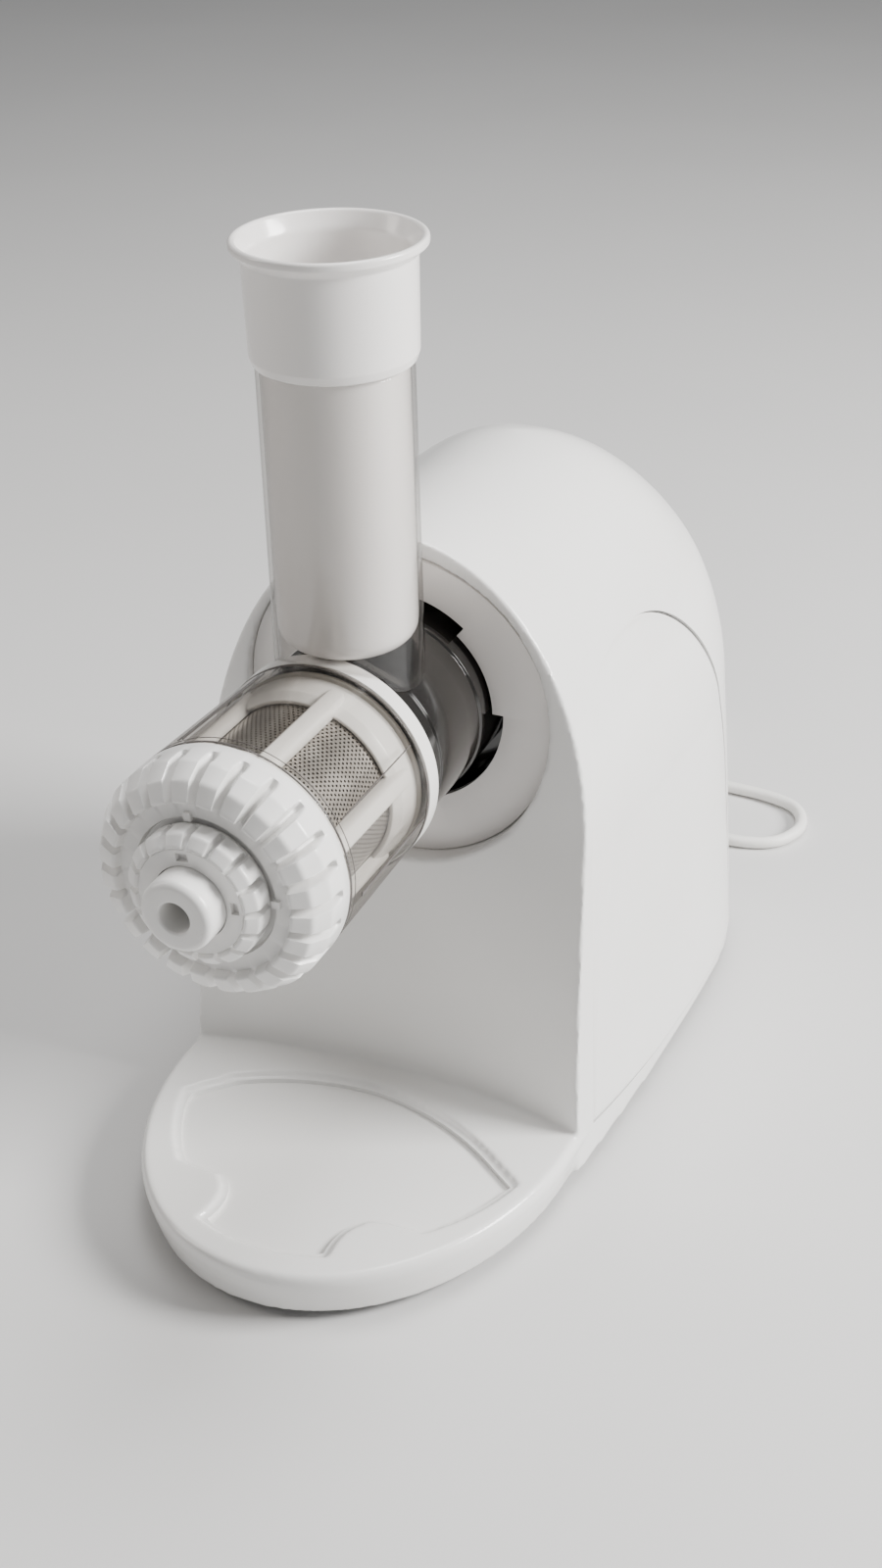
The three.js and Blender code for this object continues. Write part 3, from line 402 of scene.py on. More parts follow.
def filleted(corners, steps=5, closed=False):
    """A polyline of (a, b, radius) corners with each corner rounded to its radius."""
    points = []
    count = len(corners)
    for i, (a, b, radius) in enumerate(corners):
        here = Vector((a, b))
        if radius <= 0 or (not closed and i in (0, count - 1)):
            points.append((a, b))
            continue
        before = Vector(corners[i - 1][:2]) - here
        after = Vector(corners[(i + 1) % count][:2]) - here
        half = before.angle(after) / 2
        reach = min(radius / math.tan(half), before.length * 0.49, after.length * 0.49)
        middle = here + (before.normalized() + after.normalized()).normalized() * reach / math.cos(half)
        start = here + before.normalized() * reach - middle
        end = here + after.normalized() * reach - middle
        turn = start.angle_signed(end)
        for k in range(steps + 1):
            spot = start.copy()
            spot.rotate(Matrix.Rotation(-turn * k / steps, 2))
            points.append(tuple(middle + spot))
    return points


def lathe(name, profile, place, segments=128):
    """A closed skin from a profile of (radius, distance) turned by place(radius, distance, turn)."""
    points, faces = [], []
    rows = len(profile)
    for k in range(segments):
        turn = 2 * math.pi * k / segments
        points += [place(r, d, turn) for r, d in profile]
    for k in range(segments):
        this, following = k * rows, (k + 1) % segments * rows
        for i in range(rows - 1):
            faces.append((this + i, following + i, following + i + 1, this + i + 1))
    piece = new_object(name, points, faces)
    form = bmesh.new()
    form.from_mesh(piece.data)
    bmesh.ops.dissolve_degenerate(form, edges=form.edges, dist=1e-8)
    bmesh.ops.recalc_face_normals(form, faces=form.faces)
    form.to_mesh(piece.data)
    form.free()
    return piece


def around_screw(r, y, turn):
    return r * math.sin(turn), y, AXIS_Z + r * math.cos(turn)


def turned(name, profile, segments=128):
    return lathe(name, profile, around_screw, segments)


def standing(name, profile, segments=128, x=0.0, y=0.0):
    """A turned piece round a vertical axis."""
    def place(r, z, turn):
        return x + r * math.cos(turn), y + r * math.sin(turn), z
    return lathe(name, profile, place, segments)


def rod(name, r, y0, y1, x=0.0, z=None, segments=128):
    """A solid cylinder along y, on the screw's axis unless z says otherwise."""
    z = AXIS_Z if z is None else z
    profile = [(0, y0), (r, y0), (r, y1), (0, y1)]

    def place(r, y, turn):
        return x + r * math.sin(turn), y, z + r * math.cos(turn)
    return lathe(name, profile, place, segments)


def prism(name, outline, low, high, place):
    """An outline of (a, b) pairs carried from low to high by place(a, b, c)."""
    count = len(outline)
    points = [place(a, b, low) for a, b in outline] + [place(a, b, high) for a, b in outline]
    faces = [tuple(range(count))[::-1], tuple(range(count, 2 * count))]
    faces += [(i, (i + 1) % count, (i + 1) % count + count, i + count) for i in range(count)]
    return new_object(name, points, faces)


def block(name, x0, x1, y0, y1, z0, z1):
    return prism(name, [(x0, y0), (x1, y0), (x1, y1), (x0, y1)], z0, z1, lambda a, b, c: (a, b, c))


BLOCK_FACES = [(0, 1, 2, 3), (7, 6, 5, 4), (0, 4, 5, 1), (1, 5, 6, 2), (2, 6, 7, 3), (3, 7, 4, 0)]


def round_block(name, degrees, half, radii, ys):
    """A small block that stands at one angle round the screw, half of its width to each side."""
    turn = math.radians(degrees)
    inner, outer = radii
    corners = ((inner, -half), (inner, half), (outer, half), (outer, -half))
    points = [around_screw(r, y, turn + a / r) for y in ys for r, a in corners]
    return new_object(name, points, BLOCK_FACES)


def wedge(name, inner, outer, y0, y1, start, span, steps=16):
    """A part of a ring round the screw, from the angle start over span degrees."""
    angles = [math.radians(start + span * i / steps) for i in range(steps + 1)]
    outline = [(inner, a) for a in angles] + [(outer, a) for a in reversed(angles)]
    return prism(name, outline, y0, y1, lambda r, a, y: around_screw(r, y, a))


# ---------- housing shape: the same surfaces as the CAD housing, finely divided ----------
BASE_Z, TRAY_Z, WALL, CROWN_Z, ARCH_Z = 4, 22.2, 4, 235.5, 124
SIDE_W, FOOT_W = 74.4, 79.5
ROLL_Z, ROLL_POWER = 29.5, 2.72
BELLY_Y, BELLY, BELLY_REACH = 121.4, 0.056, 60
REAR_POWER, ROUNDING_HEIGHT = 3.1, 60
RIM_LOW_Y, RIM_HIGH_Y = 7.5, 34
WALL_CENTRE_Y, WALL_CENTRE_RISE = 18, 16.5
TRAY_LENGTH, TRAY_W = 102, 80
PLATE_Y, PLATE_R, PLATE_Z, PLATE_T = 34, 58, 170.5, 3
RECESS_Z = TRAY_Z - 3.6
RECESS_LEDGE_DEPTH, RECESS_LEDGE = 1.9, 2.6
TRAY_WALL = WALL + 2.5
COLLAR = 2.6                       # width of the raised ring round the face plate
SEAT_GAP = 0.4
POCKET_GAP, POCKET_DEPTH, COVER_DEPTH = 0.8, 3.2, 2.95
SWITCH_Z, SWITCH_HALF_W, SWITCH_HALF_H = 96, 13, 9
LEAD_Z, LEAD_HOLE_R = 17, 5.3
VENT_PITCH, VENT_Z, VENT_HALF, VENT_R = 12, 53, 11, 2
FRONT_STEPS, SIDE_STEPS = 36, 56
VOXEL, MELT_STEPS = 1.05, 4        # voxel size, and how often the edges are smoothed after it
PAST = 5                           # how far a cutting piece reaches past what it cuts


def clamp(t):
    return min(1.0, max(0.0, t))


def smooth(t):
    t = clamp(t)
    return t * t * (3 - 2 * t)


def height_share(z):
    return clamp((z - TRAY_Z) / (CROWN_Z - TRAY_Z))


def rise(z, power):
    return math.sin(math.pi / 2 * height_share(z)) ** power


def rim_y(z):
    return RIM_LOW_Y + (RIM_HIGH_Y - RIM_LOW_Y) * rise(z, 1.55)


def wall_centre_y(z):
    return WALL_CENTRE_Y + WALL_CENTRE_RISE * rise(z, 1.2)


def half_width(z):
    if z < ARCH_Z:
        return SIDE_W + (FOOT_W - SIDE_W) * (ARCH_Z - z) / (ARCH_Z - TRAY_Z)
    return SIDE_W * math.sqrt(max(0.0, 1 - ((z - ARCH_Z) / (CROWN_Z - ARCH_Z)) ** 2))


def rear_y(z):
    up = max(0.0, (z - ROLL_Z) / (CROWN_Z + 1 - ROLL_Z))
    return BELLY_Y + (REAR_Y - BELLY_Y) * (1 - up ** ROLL_POWER) ** (1 / ROLL_POWER)


def side_x(y, z):
    """Half width of the housing at one point of its side."""
    level = min(y, BELLY_Y + BELLY_REACH)
    belly = 1 + BELLY * (1 - ((level - BELLY_Y) / (BELLY_Y - RIM_LOW_Y)) ** 2)
    power = REAR_POWER + smooth((CROWN_Z - z) / ROUNDING_HEIGHT)
    past = clamp((y - BELLY_Y) / (rear_y(z) - BELLY_Y))
    return half_width(z) * belly * (1 - past ** power) ** (1 / power)


def side_stations(z, inset):
    front, rear = rim_y(z), rear_y(z)
    length = rear - front
    pairs = []
    for i in range(SIDE_STEPS + 1):
        y = front + inset + (length - 2 * inset) * math.sin(math.pi / 2 * i / SIDE_STEPS)
        full = front + (y - front - inset) * length / (length - 2 * inset)
        pairs.append((max(0.2, side_x(full, z) - inset), y))
    return pairs


def housing_ring(z, inset=0.0):
    w, front = half_width(z), rim_y(z)
    sag = wall_centre_y(z) - front
    points = []
    for i in range(FRONT_STEPS):
        u = -1 + 2 * i / FRONT_STEPS
        points.append((u * (w - inset), front + inset + sag * (1 - u * u)))
    pairs = side_stations(z, inset)
    points += pairs
    points += [(-x, y) for x, y in reversed(pairs[1:])]
    return points


def base_plan(inset):
    """The tray's half ellipse in front, and the housing's own plan behind it."""
    steps = 72
    points = []
    for i in range(steps + 1):
        turn = math.pi + math.pi * i / steps
        points.append(((TRAY_W - inset) * math.cos(turn), (TRAY_LENGTH - inset) * math.sin(turn)))
    first = sum(y <= RIM_LOW_Y + 8 for x, y in side_stations(TRAY_Z, 0))
    pairs = side_stations(TRAY_Z, inset)[first:]
    return points + pairs + [(-x, y) for x, y in reversed(pairs)]


def loft(name, rings):
    """A closed skin through (outline, z) rings."""
    count = len(rings[0][0])
    points = [(x, y, z) for outline, z in rings for x, y in outline]
    faces = []
    for level in range(len(rings) - 1):
        for i in range(count):
            a, b = level * count + i, level * count + (i + 1) % count
            faces.append((a, b, b + count, a + count))
    last = (len(rings) - 1) * count
    faces += [tuple(range(count))[::-1], tuple(range(last, last + count))]
    return new_object(name, points, faces)


def heights():
    low = [TRAY_Z + (ARCH_Z - TRAY_Z) * i / 20 for i in range(20)]
    return low + [ARCH_Z + (CROWN_Z - ARCH_Z) * math.sin(math.radians(89.6) * i / 36) for i in range(37)]


def housing_skin(name, inset, foot):
    rings = [(housing_ring(TRAY_Z, inset), foot)]
    rings += [(housing_ring(z, inset), z - inset * height_share(z)) for z in heights()]
    return loft(name, rings)


def bezier(*handles, steps=10):
    """Points along one curve of two or three spans, without its first point."""
    points = []
    for i in range(1, steps + 1):
        t = i / steps
        row = [Vector(h) for h in handles]
        while len(row) > 1:
            row = [a.lerp(b, t) for a, b in zip(row, row[1:])]
        points.append(tuple(row[0]))
    return points


def recess_outline():
    """The shield-shaped recess with its two finger lobes."""
    route = [
        ((-60, -14), (-54, -8)), ((-30, 7), (0, 7)), ((32, 4), (59, -17)), ((64.5, -21), (70, -25)),
        ((64, -48), (49, -62)), ((40, -61), (31, -63)), ((22, -70), (25, -85)), ((0, -96), (-27, -85)),
        ((-22, -70), (-31, -62)), ((-40, -62), (-48, -61)), ((-62, -46), (-68, -24)),
    ]
    at = (-68, -24)
    points = []
    for handle, end in route:
        points += bezier(at, handle, end)
        at = end
    return points


def shrunk(outline, inset):
    """A clockwise outline moved inwards by inset, without the points that would fold over."""
    moved = []
    for before, here, after in zip(outline[-1:] + outline[:-1], outline, outline[1:] + outline[:1]):
        along = (Vector(after) - Vector(before)).normalized()
        spot = Vector((here[0] + along.y * inset, here[1] - along.x * inset))
        if all((spot - Vector(p)).length > inset * 0.97 for p in outline):
            moved.append(tuple(spot))
    return moved


def upright(a, b, c):
    return a, b, c


COVER_CENTRE = Vector((100, 100))
COVE_WIDTH, COVE_DEPTH, COVE_POWER = 30, 2.5, 1.4
COVE_PEAK, FADE_BEFORE, FADE_AFTER = 115, 42.4, 65     # degrees round the cover's centre


def cover_outline():
    """Arch outline of a side cover in the y-z plane."""
    points = [(28, 110)]
    points += bezier((28, 110), (31, 165), (42, 187.5), (90, 187.5), steps=44)
    points += bezier((90, 187.5), (130, 187.5), (160, 150), (172, 95), steps=44)
    points += [(172 + 7 * i / 16, 95 - 83 * i / 16) for i in range(1, 17)]
    points += bezier((179, 12), (100, 7), (20.6, 19.5), steps=32)
    points += [(20.6 + 7.4 * i / 16, 19.5 + 90.5 * i / 16) for i in range(1, 16)]
    return points


def cove(past_edge, angle):
    """How far the scooped border of a cover lies below the housing's surface."""
    away = angle - COVE_PEAK
    fade = FADE_BEFORE if away < 0 else FADE_AFTER
    share = math.exp(-(away / fade) ** 2)
    width = COVE_WIDTH * share
    if past_edge >= width:
        return 0.0
    return COVE_DEPTH * math.sqrt(share) * (1 - past_edge / width) ** COVE_POWER


def band_faces(first, second, count):
    """The faces between two closed rows of count points that start at first and second."""
    return [(first + i, second + i, second + (i + 1) % count, first + (i + 1) % count) for i in range(count)]


def side_patch(name, side, grow, front, back, rings=46):
    """A closed plate that follows the housing's side inside the cover's outline."""
    outline = [Vector(p) for p in cover_outline()]
    outline = [p + (p - COVER_CENTRE).normalized() * grow for p in outline]
    count = len(outline)
    shares = [(i / rings) ** 0.8 for i in range(1, rings + 1)]
    shares += [1 - 0.006, 1 - 0.003, 1 - 0.001]
    shares = sorted(set(shares))
    points = []
    for offset in (front, back):
        points.append((side * (side_x(*COVER_CENTRE) - offset(100, 90)), *COVER_CENTRE))
        for share in shares:
            for spot in outline:
                arm = spot - COVER_CENTRE
                y, z = COVER_CENTRE + arm * share
                angle = math.degrees(math.atan2(arm.y, arm.x)) % 360
                x = side_x(y, z) - offset(arm.length * (1 - share), angle)
                points.append((side * x, y, z))
    sheet = 1 + count * len(shares)
    faces = []
    for base in (0, sheet):
        faces += [(base, base + 1 + i, base + 1 + (i + 1) % count) for i in range(count)]
        for k in range(len(shares) - 1):
            inner, outer = base + 1 + k * count, base + 1 + (k + 1) * count
            faces += band_faces(inner, outer, count)
    edge = 1 + (len(shares) - 1) * count
    faces += band_faces(edge, edge + sheet, count)
    return new_object(name, points, faces)


EDGE_ROUND = 0.5
SHADED_RIM_SLOPE = 0.35                  # a cover's faces whose normal has less x than this are its rim, which is painted grey as the shade in the groove round the cover


def edge_drop(past_edge):
    """How far the rounded rim of a cover lies below its face."""
    if past_edge >= EDGE_ROUND:
        return 0.0
    return EDGE_ROUND - math.sqrt(EDGE_ROUND ** 2 - (EDGE_ROUND - past_edge) ** 2)


def tray():
    """The half-elliptical tray with its rounded upper edge."""
    return loft("tray", [
        (base_plan(3.4), BASE_Z), (base_plan(0.9), TRAY_Z - 9), (base_plan(0), TRAY_Z - 4),
        (base_plan(0.5), TRAY_Z - 1.3), (base_plan(1.9), TRAY_Z),
    ])


def rounded_over(housing):
    """The housing with small fillets on all its edges, from a fine voxel skin and a little smoothing."""
    remesh = housing.modifiers.new("remesh", "REMESH")
    remesh.mode = "VOXEL"
    remesh.voxel_size = VOXEL * MM
    melt = housing.modifiers.new("melt", "SMOOTH")
    melt.factor = 0.5
    melt.iterations = MELT_STEPS
    return settle(housing)


def vent_outline(middle):
    points = []
    for k in range(24):
        turn = 2 * math.pi * (k + 0.5) / 24
        end = VENT_HALF if math.sin(turn) > 0 else -VENT_HALF
        points.append((middle + VENT_R * math.cos(turn), VENT_Z + end + VENT_R * math.sin(turn)))
    return points


def cut_rear_openings(housing):
    rear = REAR_Y + PAST
    switch_front = rear_y(SWITCH_Z) - 12
    low, high = SWITCH_Z - SWITCH_HALF_H, SWITCH_Z + SWITCH_HALF_H
    cut(housing, block("switch_hole", -SWITCH_HALF_W, SWITCH_HALF_W, switch_front, rear, low, high))
    cut(housing, rod("lead_hole", LEAD_HOLE_R, REAR_Y - 14, rear, z=LEAD_Z, segments=48))
    for i in (-2, -1, 1, 2):
        outline = vent_outline(i * VENT_PITCH)
        cut(housing, prism("vent", outline, REAR_Y - 14, rear, lambda a, b, c: (a, c, b)))


def make_housing():
    above = TRAY_Z + 3
    housing = join(housing_skin("housing", 0, BASE_Z + 1), tray())
    cut(housing, housing_skin("hollow", WALL, BASE_Z - 1))
    cut(housing, prism("tray_hollow", base_plan(TRAY_WALL), BASE_Z - 1, RECESS_Z - 2.6, upright))
    collar = rod("collar", PLATE_R + COLLAR, 20, PLATE_Y + PLATE_T + GAP + 3, z=PLATE_Z)
    combine(collar, housing_skin("skin", 0, BASE_Z + 1), "INTERSECT")
    join(housing, collar)
    cut(housing, rod("seat", PLATE_R + SEAT_GAP, 5, PLATE_Y + PLATE_T + GAP, z=PLATE_Z))
    cut(housing, rod("opening", PLATE_R - 3, 5, PLATE_Y + 20, z=PLATE_Z))
    cut(housing, prism("recess", recess_outline(), TRAY_Z - RECESS_LEDGE_DEPTH, above, upright))
    rounded_over(housing)
    floor_outline = shrunk(recess_outline(), RECESS_LEDGE)
    cut(housing, prism("recess_floor", floor_outline, RECESS_Z, above, upright))
    for side in (-1, 1):
        cut(housing, side_patch("pocket", side, POCKET_GAP, lambda q, a: -6, lambda q, a: POCKET_DEPTH))
    cut_rear_openings(housing)
    finish_piece(housing, WHITE, "base", "body_white", "housing_shell", sharp=50)


def make_covers():
    def face(past_edge, angle):
        return cove(past_edge, angle) + edge_drop(past_edge)

    for side, name in ((1, "side_cover_right"), (-1, "side_cover_left")):
        cover = side_patch(name + "_fine", side, 0, face, lambda q, a: COVER_DEPTH)
        finish_piece(cover, WHITE, "base", "trim_white", name, sharp=50)
        # the rim faces get the grey, as painted shade in the groove round the cover
        cover.data.materials.append(GROOVE_PAINTED_SHADE)
        for polygon in cover.data.polygons:
            polygon.material_index = int(abs(polygon.normal.x) < SHADED_RIM_SLOPE)


# ---------- face plate and drum ----------
BAYONET_R, TAB_R, LUG_R, LUGS = 40.3, 36.2, 39.4, 3
TAB_START, TAB_SPAN, LUG_START, LUG_SPAN = 40, 50, 42, 24
DRUM_R, DRUM_BORE, DRUM_FRONT, DRUM_REAR = 35, 29.5, -21, 49
TUBE_R, TUBE_T, TUBE_LOW, TUBE_TOP = 25, 2, AXIS_Z + 15, 307.8
TUBE_WALL, STEM_R = 1.3, 23.3      # as drawn: the clear wall makes the stem look wider than it is
STEM_LOW, PUSHER_TOP = 213, centre("pusher").z * 2 - 213
CUP_R, LIP_R = 27.2, 30.6
SLEEVE_FRONT, SLEEVE_R_FRONT, SLEEVE_R_REAR, SLEEVE_T = -82.7, 40.3, 38.6, 2.4


def make_face_plate():
    plate = rod("face_plate_fine", PLATE_R, PLATE_Y, PLATE_Y + PLATE_T, z=PLATE_Z, segments=192)
    cut(plate, rod("bayonet", BAYONET_R, 0, 60, segments=160))
    for i in range(LUGS):
        start = 360 / LUGS * i + TAB_START
        join(plate, wedge("tab", TAB_R, BAYONET_R + 1, PLATE_Y, PLATE_Y + PLATE_T, start, TAB_SPAN))
    soften(plate, 0.45, 3)
    finish_piece(plate, PLATE, "base", "trim_white", "face_plate")


def make_drum():
    profile = filleted([
        (DRUM_BORE, DRUM_FRONT, 0), (DRUM_R, DRUM_FRONT, 0.6), (DRUM_R, -6, 0.3),
        (DRUM_R + 0.5, -5.6, 0.3), (DRUM_R + 0.5, 17.5, 0.3), (DRUM_R - 0.1, 18, 0.3),
        (DRUM_R - 0.1, 26, 0.3), (DRUM_R + 0.6, 26.6, 0.3), (DRUM_R + 0.6, 29.4, 0.3), (DRUM_R, 30, 0.3),
        (DRUM_R, DRUM_REAR, 0.8), (9, DRUM_REAR, 0.3), (9, DRUM_REAR - 3, 0.3),
        (DRUM_BORE, DRUM_REAR - 3, 0.6), (DRUM_BORE, DRUM_FRONT, 0),
    ])
    drum = turned("drum_fine", profile, 160)
    low = PLATE_Y + PLATE_T + 0.5
    for i in range(LUGS):
        join(drum, wedge("lug", DRUM_R - 1, LUG_R, low, low + 3.5, 360 / LUGS * i + LUG_START, LUG_SPAN))
    throat_r = TUBE_R - TUBE_T
    cut(drum, standing("throat", [(0, AXIS_Z), (throat_r, AXIS_Z), (throat_r, 250), (0, 250)], 96))
    finish_piece(drum, BLACK, "drum", "black_gloss", "drum_body")


def make_feed_tube():
    inner = TUBE_R - TUBE_WALL
    profile = filleted([
        (inner, TUBE_LOW, 0), (TUBE_R, TUBE_LOW, 0), (TUBE_R, TUBE_TOP, 0.7), (inner, TUBE_TOP, 0.7),
        (inner, TUBE_LOW, 0),
    ])
    tube = standing("feed_tube_fine", profile, 128)
    cut(tube, rod("saddle", DRUM_R + 0.8, -60, 60, segments=160))
    cut(tube, rod("sleeve_clearance", SLEEVE_R_REAR + 0.7, -60, DRUM_FRONT + 6.4, segments=160))
    finish_piece(tube, TUBE_CLEAR, "drum", "clear_plastic", "feed_tube")


def make_pusher():
    top, low, rest = PUSHER_TOP, STEM_LOW, TUBE_TOP + GAP
    profile = filleted([
        (0, low, 0), (STEM_R, low, 7), (STEM_R, rest, 0.4), (CUP_R - 1.6, rest, 1.2),
        (CUP_R - 0.5, TUBE_TOP + 3.4, 1.5), (CUP_R, top - 5.4, 1.2), (LIP_R, top - 2.6, 1.0),
        (LIP_R, top - 0.2, 1.1), (LIP_R - 2, top, 1.6), (CUP_R - 1.6, top - 5.5, 5),
        (CUP_R - 2.6, TUBE_TOP + 3, 2.5), (20, TUBE_TOP + 3, 1.5), (20, low + 4, 3), (0, low + 4, 0),
    ], steps=7)
    finish_piece(standing("pusher_fine", profile, 160), PUSHER_WHITE, "pusher", "body_white", "pusher")


# ---------- strainer and sleeve ----------
MESH_R, MESH_T, STRAINER_R = 30.4, 0.8, 34
BARS, BAR_START, BAR_HALF, BAR_RISE = 6, 16.5, 3.7, 1.6
HOLE_PITCH, HOLE_R = 1.75, 0.5


def make_mesh():
    """The perforated basket: hexagonal cells, each with a six-sided hole, on both faces of the sheet."""
    start, end = SLEEVE_FRONT + 1, DRUM_FRONT - 2
    columns = round(2 * math.pi * MESH_R / HOLE_PITCH)
    step = math.radians(360 / columns)
    row_pitch = HOLE_PITCH * 0.87
    across, along = 0.5774, 0.6667     # a cell's corners, as shares of the column and row pitches
    rows = int((end - start - 2) / row_pitch)
    points, faces = [], []

    def corner(row, column, k, r):
        turn = math.radians(60 * k + 30)
        angle = (column + (row % 2) / 2 + math.cos(turn) * across) * step
        y = start + 1 + (row + 0.5) * row_pitch + math.sin(turn) * along * row_pitch
        return around_screw(r, min(end, max(start, y)), angle)

    for row in range(rows):
        for column in range(columns):
            middle = start + 1 + (row + 0.5) * row_pitch
            angle = (column + (row % 2) / 2) * step
            base = len(points)
            for r in (MESH_R, MESH_R - MESH_T):
                points += [corner(row, column, k, r) for k in range(6)]
                for k in range(6):
                    turn = math.radians(60 * k + 30)
                    points.append(around_screw(r, middle + HOLE_R * math.sin(turn),
                                               angle + HOLE_R * math.cos(turn) / MESH_R))
            for k in range(6):
                n = (k + 1) % 6
                faces.append((base + k, base + n, base + 6 + n, base + 6 + k))
                faces.append((base + 12 + n, base + 12 + k, base + 18 + k, base + 18 + n))
                faces.append((base + 6 + k, base + 6 + n, base + 18 + n, base + 18 + k))
    mesh = bpy.data.meshes.new("strainer_mesh_fine")
    mesh.from_pydata([put(*p) for p in points], [], faces)
    form = bmesh.new()
    form.from_mesh(mesh)
    bmesh.ops.remove_doubles(form, verts=form.verts, dist=0.02 * MM)
    form.to_mesh(mesh)
    form.free()
    piece = bpy.data.objects.new("strainer_mesh_fine", mesh)
    bpy.context.scene.collection.objects.link(piece)
    finish_piece(piece, SIEVE, "drum", "sieve_steel", "strainer_mesh")


def pill(name, turn, y0, y1, half, low, high):
    """A bar along the screw with round ends, standing from radius low to high, crowned across."""
    steps, rings = 12, 7
    outline = []
    for end, sign in ((y1 - half, 1), (y0 + half, -1)):
        for i in range(steps + 1):
            a = math.pi * i / steps if sign > 0 else math.pi + math.pi * i / steps
            outline.append((half * math.cos(a), end + half * math.sin(a)))
    layers = [(1.0, low)]
    for k in range(rings + 1):
        turned_by = math.pi / 2 * k / rings
        shrink = 1 - 0.45 * (1 - math.cos(turned_by))
        layers.append((shrink, high - (high - low) * 0.75 * (1 - math.sin(turned_by))))
    points, faces = [], []
    count = len(outline)
    for share, r in layers:
        for a, y in outline:
            near_end = half * (1 - share)
            y = min(y1 - near_end, max(y0 + near_end, y))
            points.append(around_screw(r, y, turn + a * share / STRAINER_R))
    for k in range(len(layers) - 1):
        faces += band_faces(k * count, (k + 1) * count, count)
    faces += [tuple(range(count))[::-1], tuple(range((len(layers) - 1) * count, len(layers) * count))]
    return new_object(name, points, faces)


def make_strainer():
    inner = MESH_R + GAP
    rear = turned("strainer_frame_fine", filleted([
        (inner, DRUM_FRONT - 15, 0), (inner + 1.4, DRUM_FRONT - 16, 0.6), (STRAINER_R, DRUM_FRONT - 12, 1.5),
        (STRAINER_R + 0.8, DRUM_FRONT - 3, 0.4), (inner, DRUM_FRONT - 2.4, 0), (inner, DRUM_FRONT - 15, 0),
    ]), 128)
    front = turned("ring", filleted([
        (inner, SLEEVE_FRONT + 1, 0), (STRAINER_R, SLEEVE_FRONT + 1, 0.5),
        (STRAINER_R, SLEEVE_FRONT + 9, 1.2), (inner, SLEEVE_FRONT + 10, 0), (inner, SLEEVE_FRONT + 1, 0),
    ]), 128)
    join(rear, front)
    low, high = SLEEVE_FRONT + 4, DRUM_FRONT - 6
    for i in range(BARS):
        turn = math.radians(360 / BARS * i + BAR_START)
        join(rear, pill("bar", turn, low, high, BAR_HALF, inner, STRAINER_R + BAR_RISE))
    finish_piece(rear, TRIM, "drum", "body_white", "strainer_frame")


def make_gasket():
    gasket = turned("drum_gasket_fine", filleted([
        (31, DRUM_FRONT - 1.6, 0.3), (35.4, DRUM_FRONT - 1.6, 0.5), (35.4, DRUM_FRONT - GAP, 0.5),
        (31, DRUM_FRONT - GAP, 0.3), (31, DRUM_FRONT - 1.6, 0.3),
    ]), 96)
    finish_piece(gasket, SILICONE, "drum", "silicone", "drum_gasket")


def make_sleeve():
    profile = filleted([
        (SLEEVE_R_FRONT - SLEEVE_T, SLEEVE_FRONT, 0), (SLEEVE_R_FRONT, SLEEVE_FRONT, 0.4),
        (SLEEVE_R_REAR, DRUM_FRONT - 2, 0.6), (SLEEVE_R_REAR, DRUM_FRONT + 6, 1.0),
        (DRUM_R + 0.9, DRUM_FRONT + 6, 0.3), (DRUM_R + 0.9, DRUM_FRONT - GAP, 0.3),
        (SLEEVE_R_REAR - SLEEVE_T, DRUM_FRONT - GAP, 0), (SLEEVE_R_FRONT - SLEEVE_T, SLEEVE_FRONT, 0),
    ])
    sleeve = turned("juice_sleeve_fine", profile, 160)
    cut(sleeve, block("outlet", -8, 8, -66, -34, AXIS_Z - 50, AXIS_Z - 30))
    finish_piece(sleeve, CLEAR, "drum", "clear_plastic", "juice_sleeve")


def sleeve_r(y):
    """The sleeve's outer radius, which narrows towards the drum."""
    share = (y - SLEEVE_FRONT) / (DRUM_FRONT - 2 - SLEEVE_FRONT)
    return SLEEVE_R_FRONT + (SLEEVE_R_REAR - SLEEVE_R_FRONT) * clamp(share)


def band(name, y, width, material, out, thick=0.5):
    """A line round the sleeve, standing out from it by out."""
    r = sleeve_r(y) + out
    ring = turned(name, filleted([
        (r - thick, y - width / 2, 0), (r, y - width / 2, 0.15), (r, y + width / 2, 0.15),
        (r - thick, y + width / 2, 0), (r - thick, y - width / 2, 0),
    ]), 160)
    finish_piece(ring, material, "drum", "clear_plastic")


def rib(name, degrees, y0, y1, width, out):
    """A line along the sleeve, standing out from it by out and painted dark as the shade in a clear rib."""
    angle = math.radians(degrees)
    half = width / 2 / SLEEVE_R_REAR
    points = []
    for y in (y0, y1):
        for a, dr in ((-half, -0.4), (half, -0.4), (half, out), (-half, out)):
            points.append(around_screw(sleeve_r(y) + dr, y, angle + a))
    faces = [(3, 2, 1, 0), (4, 5, 6, 7), (0, 1, 5, 4), (1, 2, 6, 5), (2, 3, 7, 6), (3, 0, 4, 7)]
    finish_piece(new_object(name, points, faces), LINE_PAINTED_SHADE, "drum", "clear_plastic")


def make_sleeve_lines():
    # the dark lines are painted shade at the clear sleeve's edges and ribs
    front, rear = SLEEVE_FRONT + 6, DRUM_FRONT - 5
    band("sleeve_front_line", SLEEVE_FRONT + 0.7, 0.6, LINE_PAINTED_SHADE, 0.15)
    band("sleeve_second_line", SLEEVE_FRONT + 3.6, 0.3, LINE_PAINTED_SHADE, 0.05, 0.2)
    band("sleeve_rear_line", DRUM_FRONT - 2.6, 0.9, LINE_PAINTED_SHADE, 0.2)
    band("sleeve_rear_band", DRUM_FRONT + 1.8, 6.6, TRIM, 0.25, 0.8)
    rib("sleeve_slot_line", 104, SLEEVE_FRONT + 10, DRUM_FRONT - 4, 1.5, 0.15)
    rib("sleeve_window_edge", 62, front, rear, 0.35, 0.05)
    rib("sleeve_axial_line_1", -28, front, rear, 0.45, 0.05)
    rib("sleeve_axial_line_2", -31, front, rear, 0.3, 0.05)


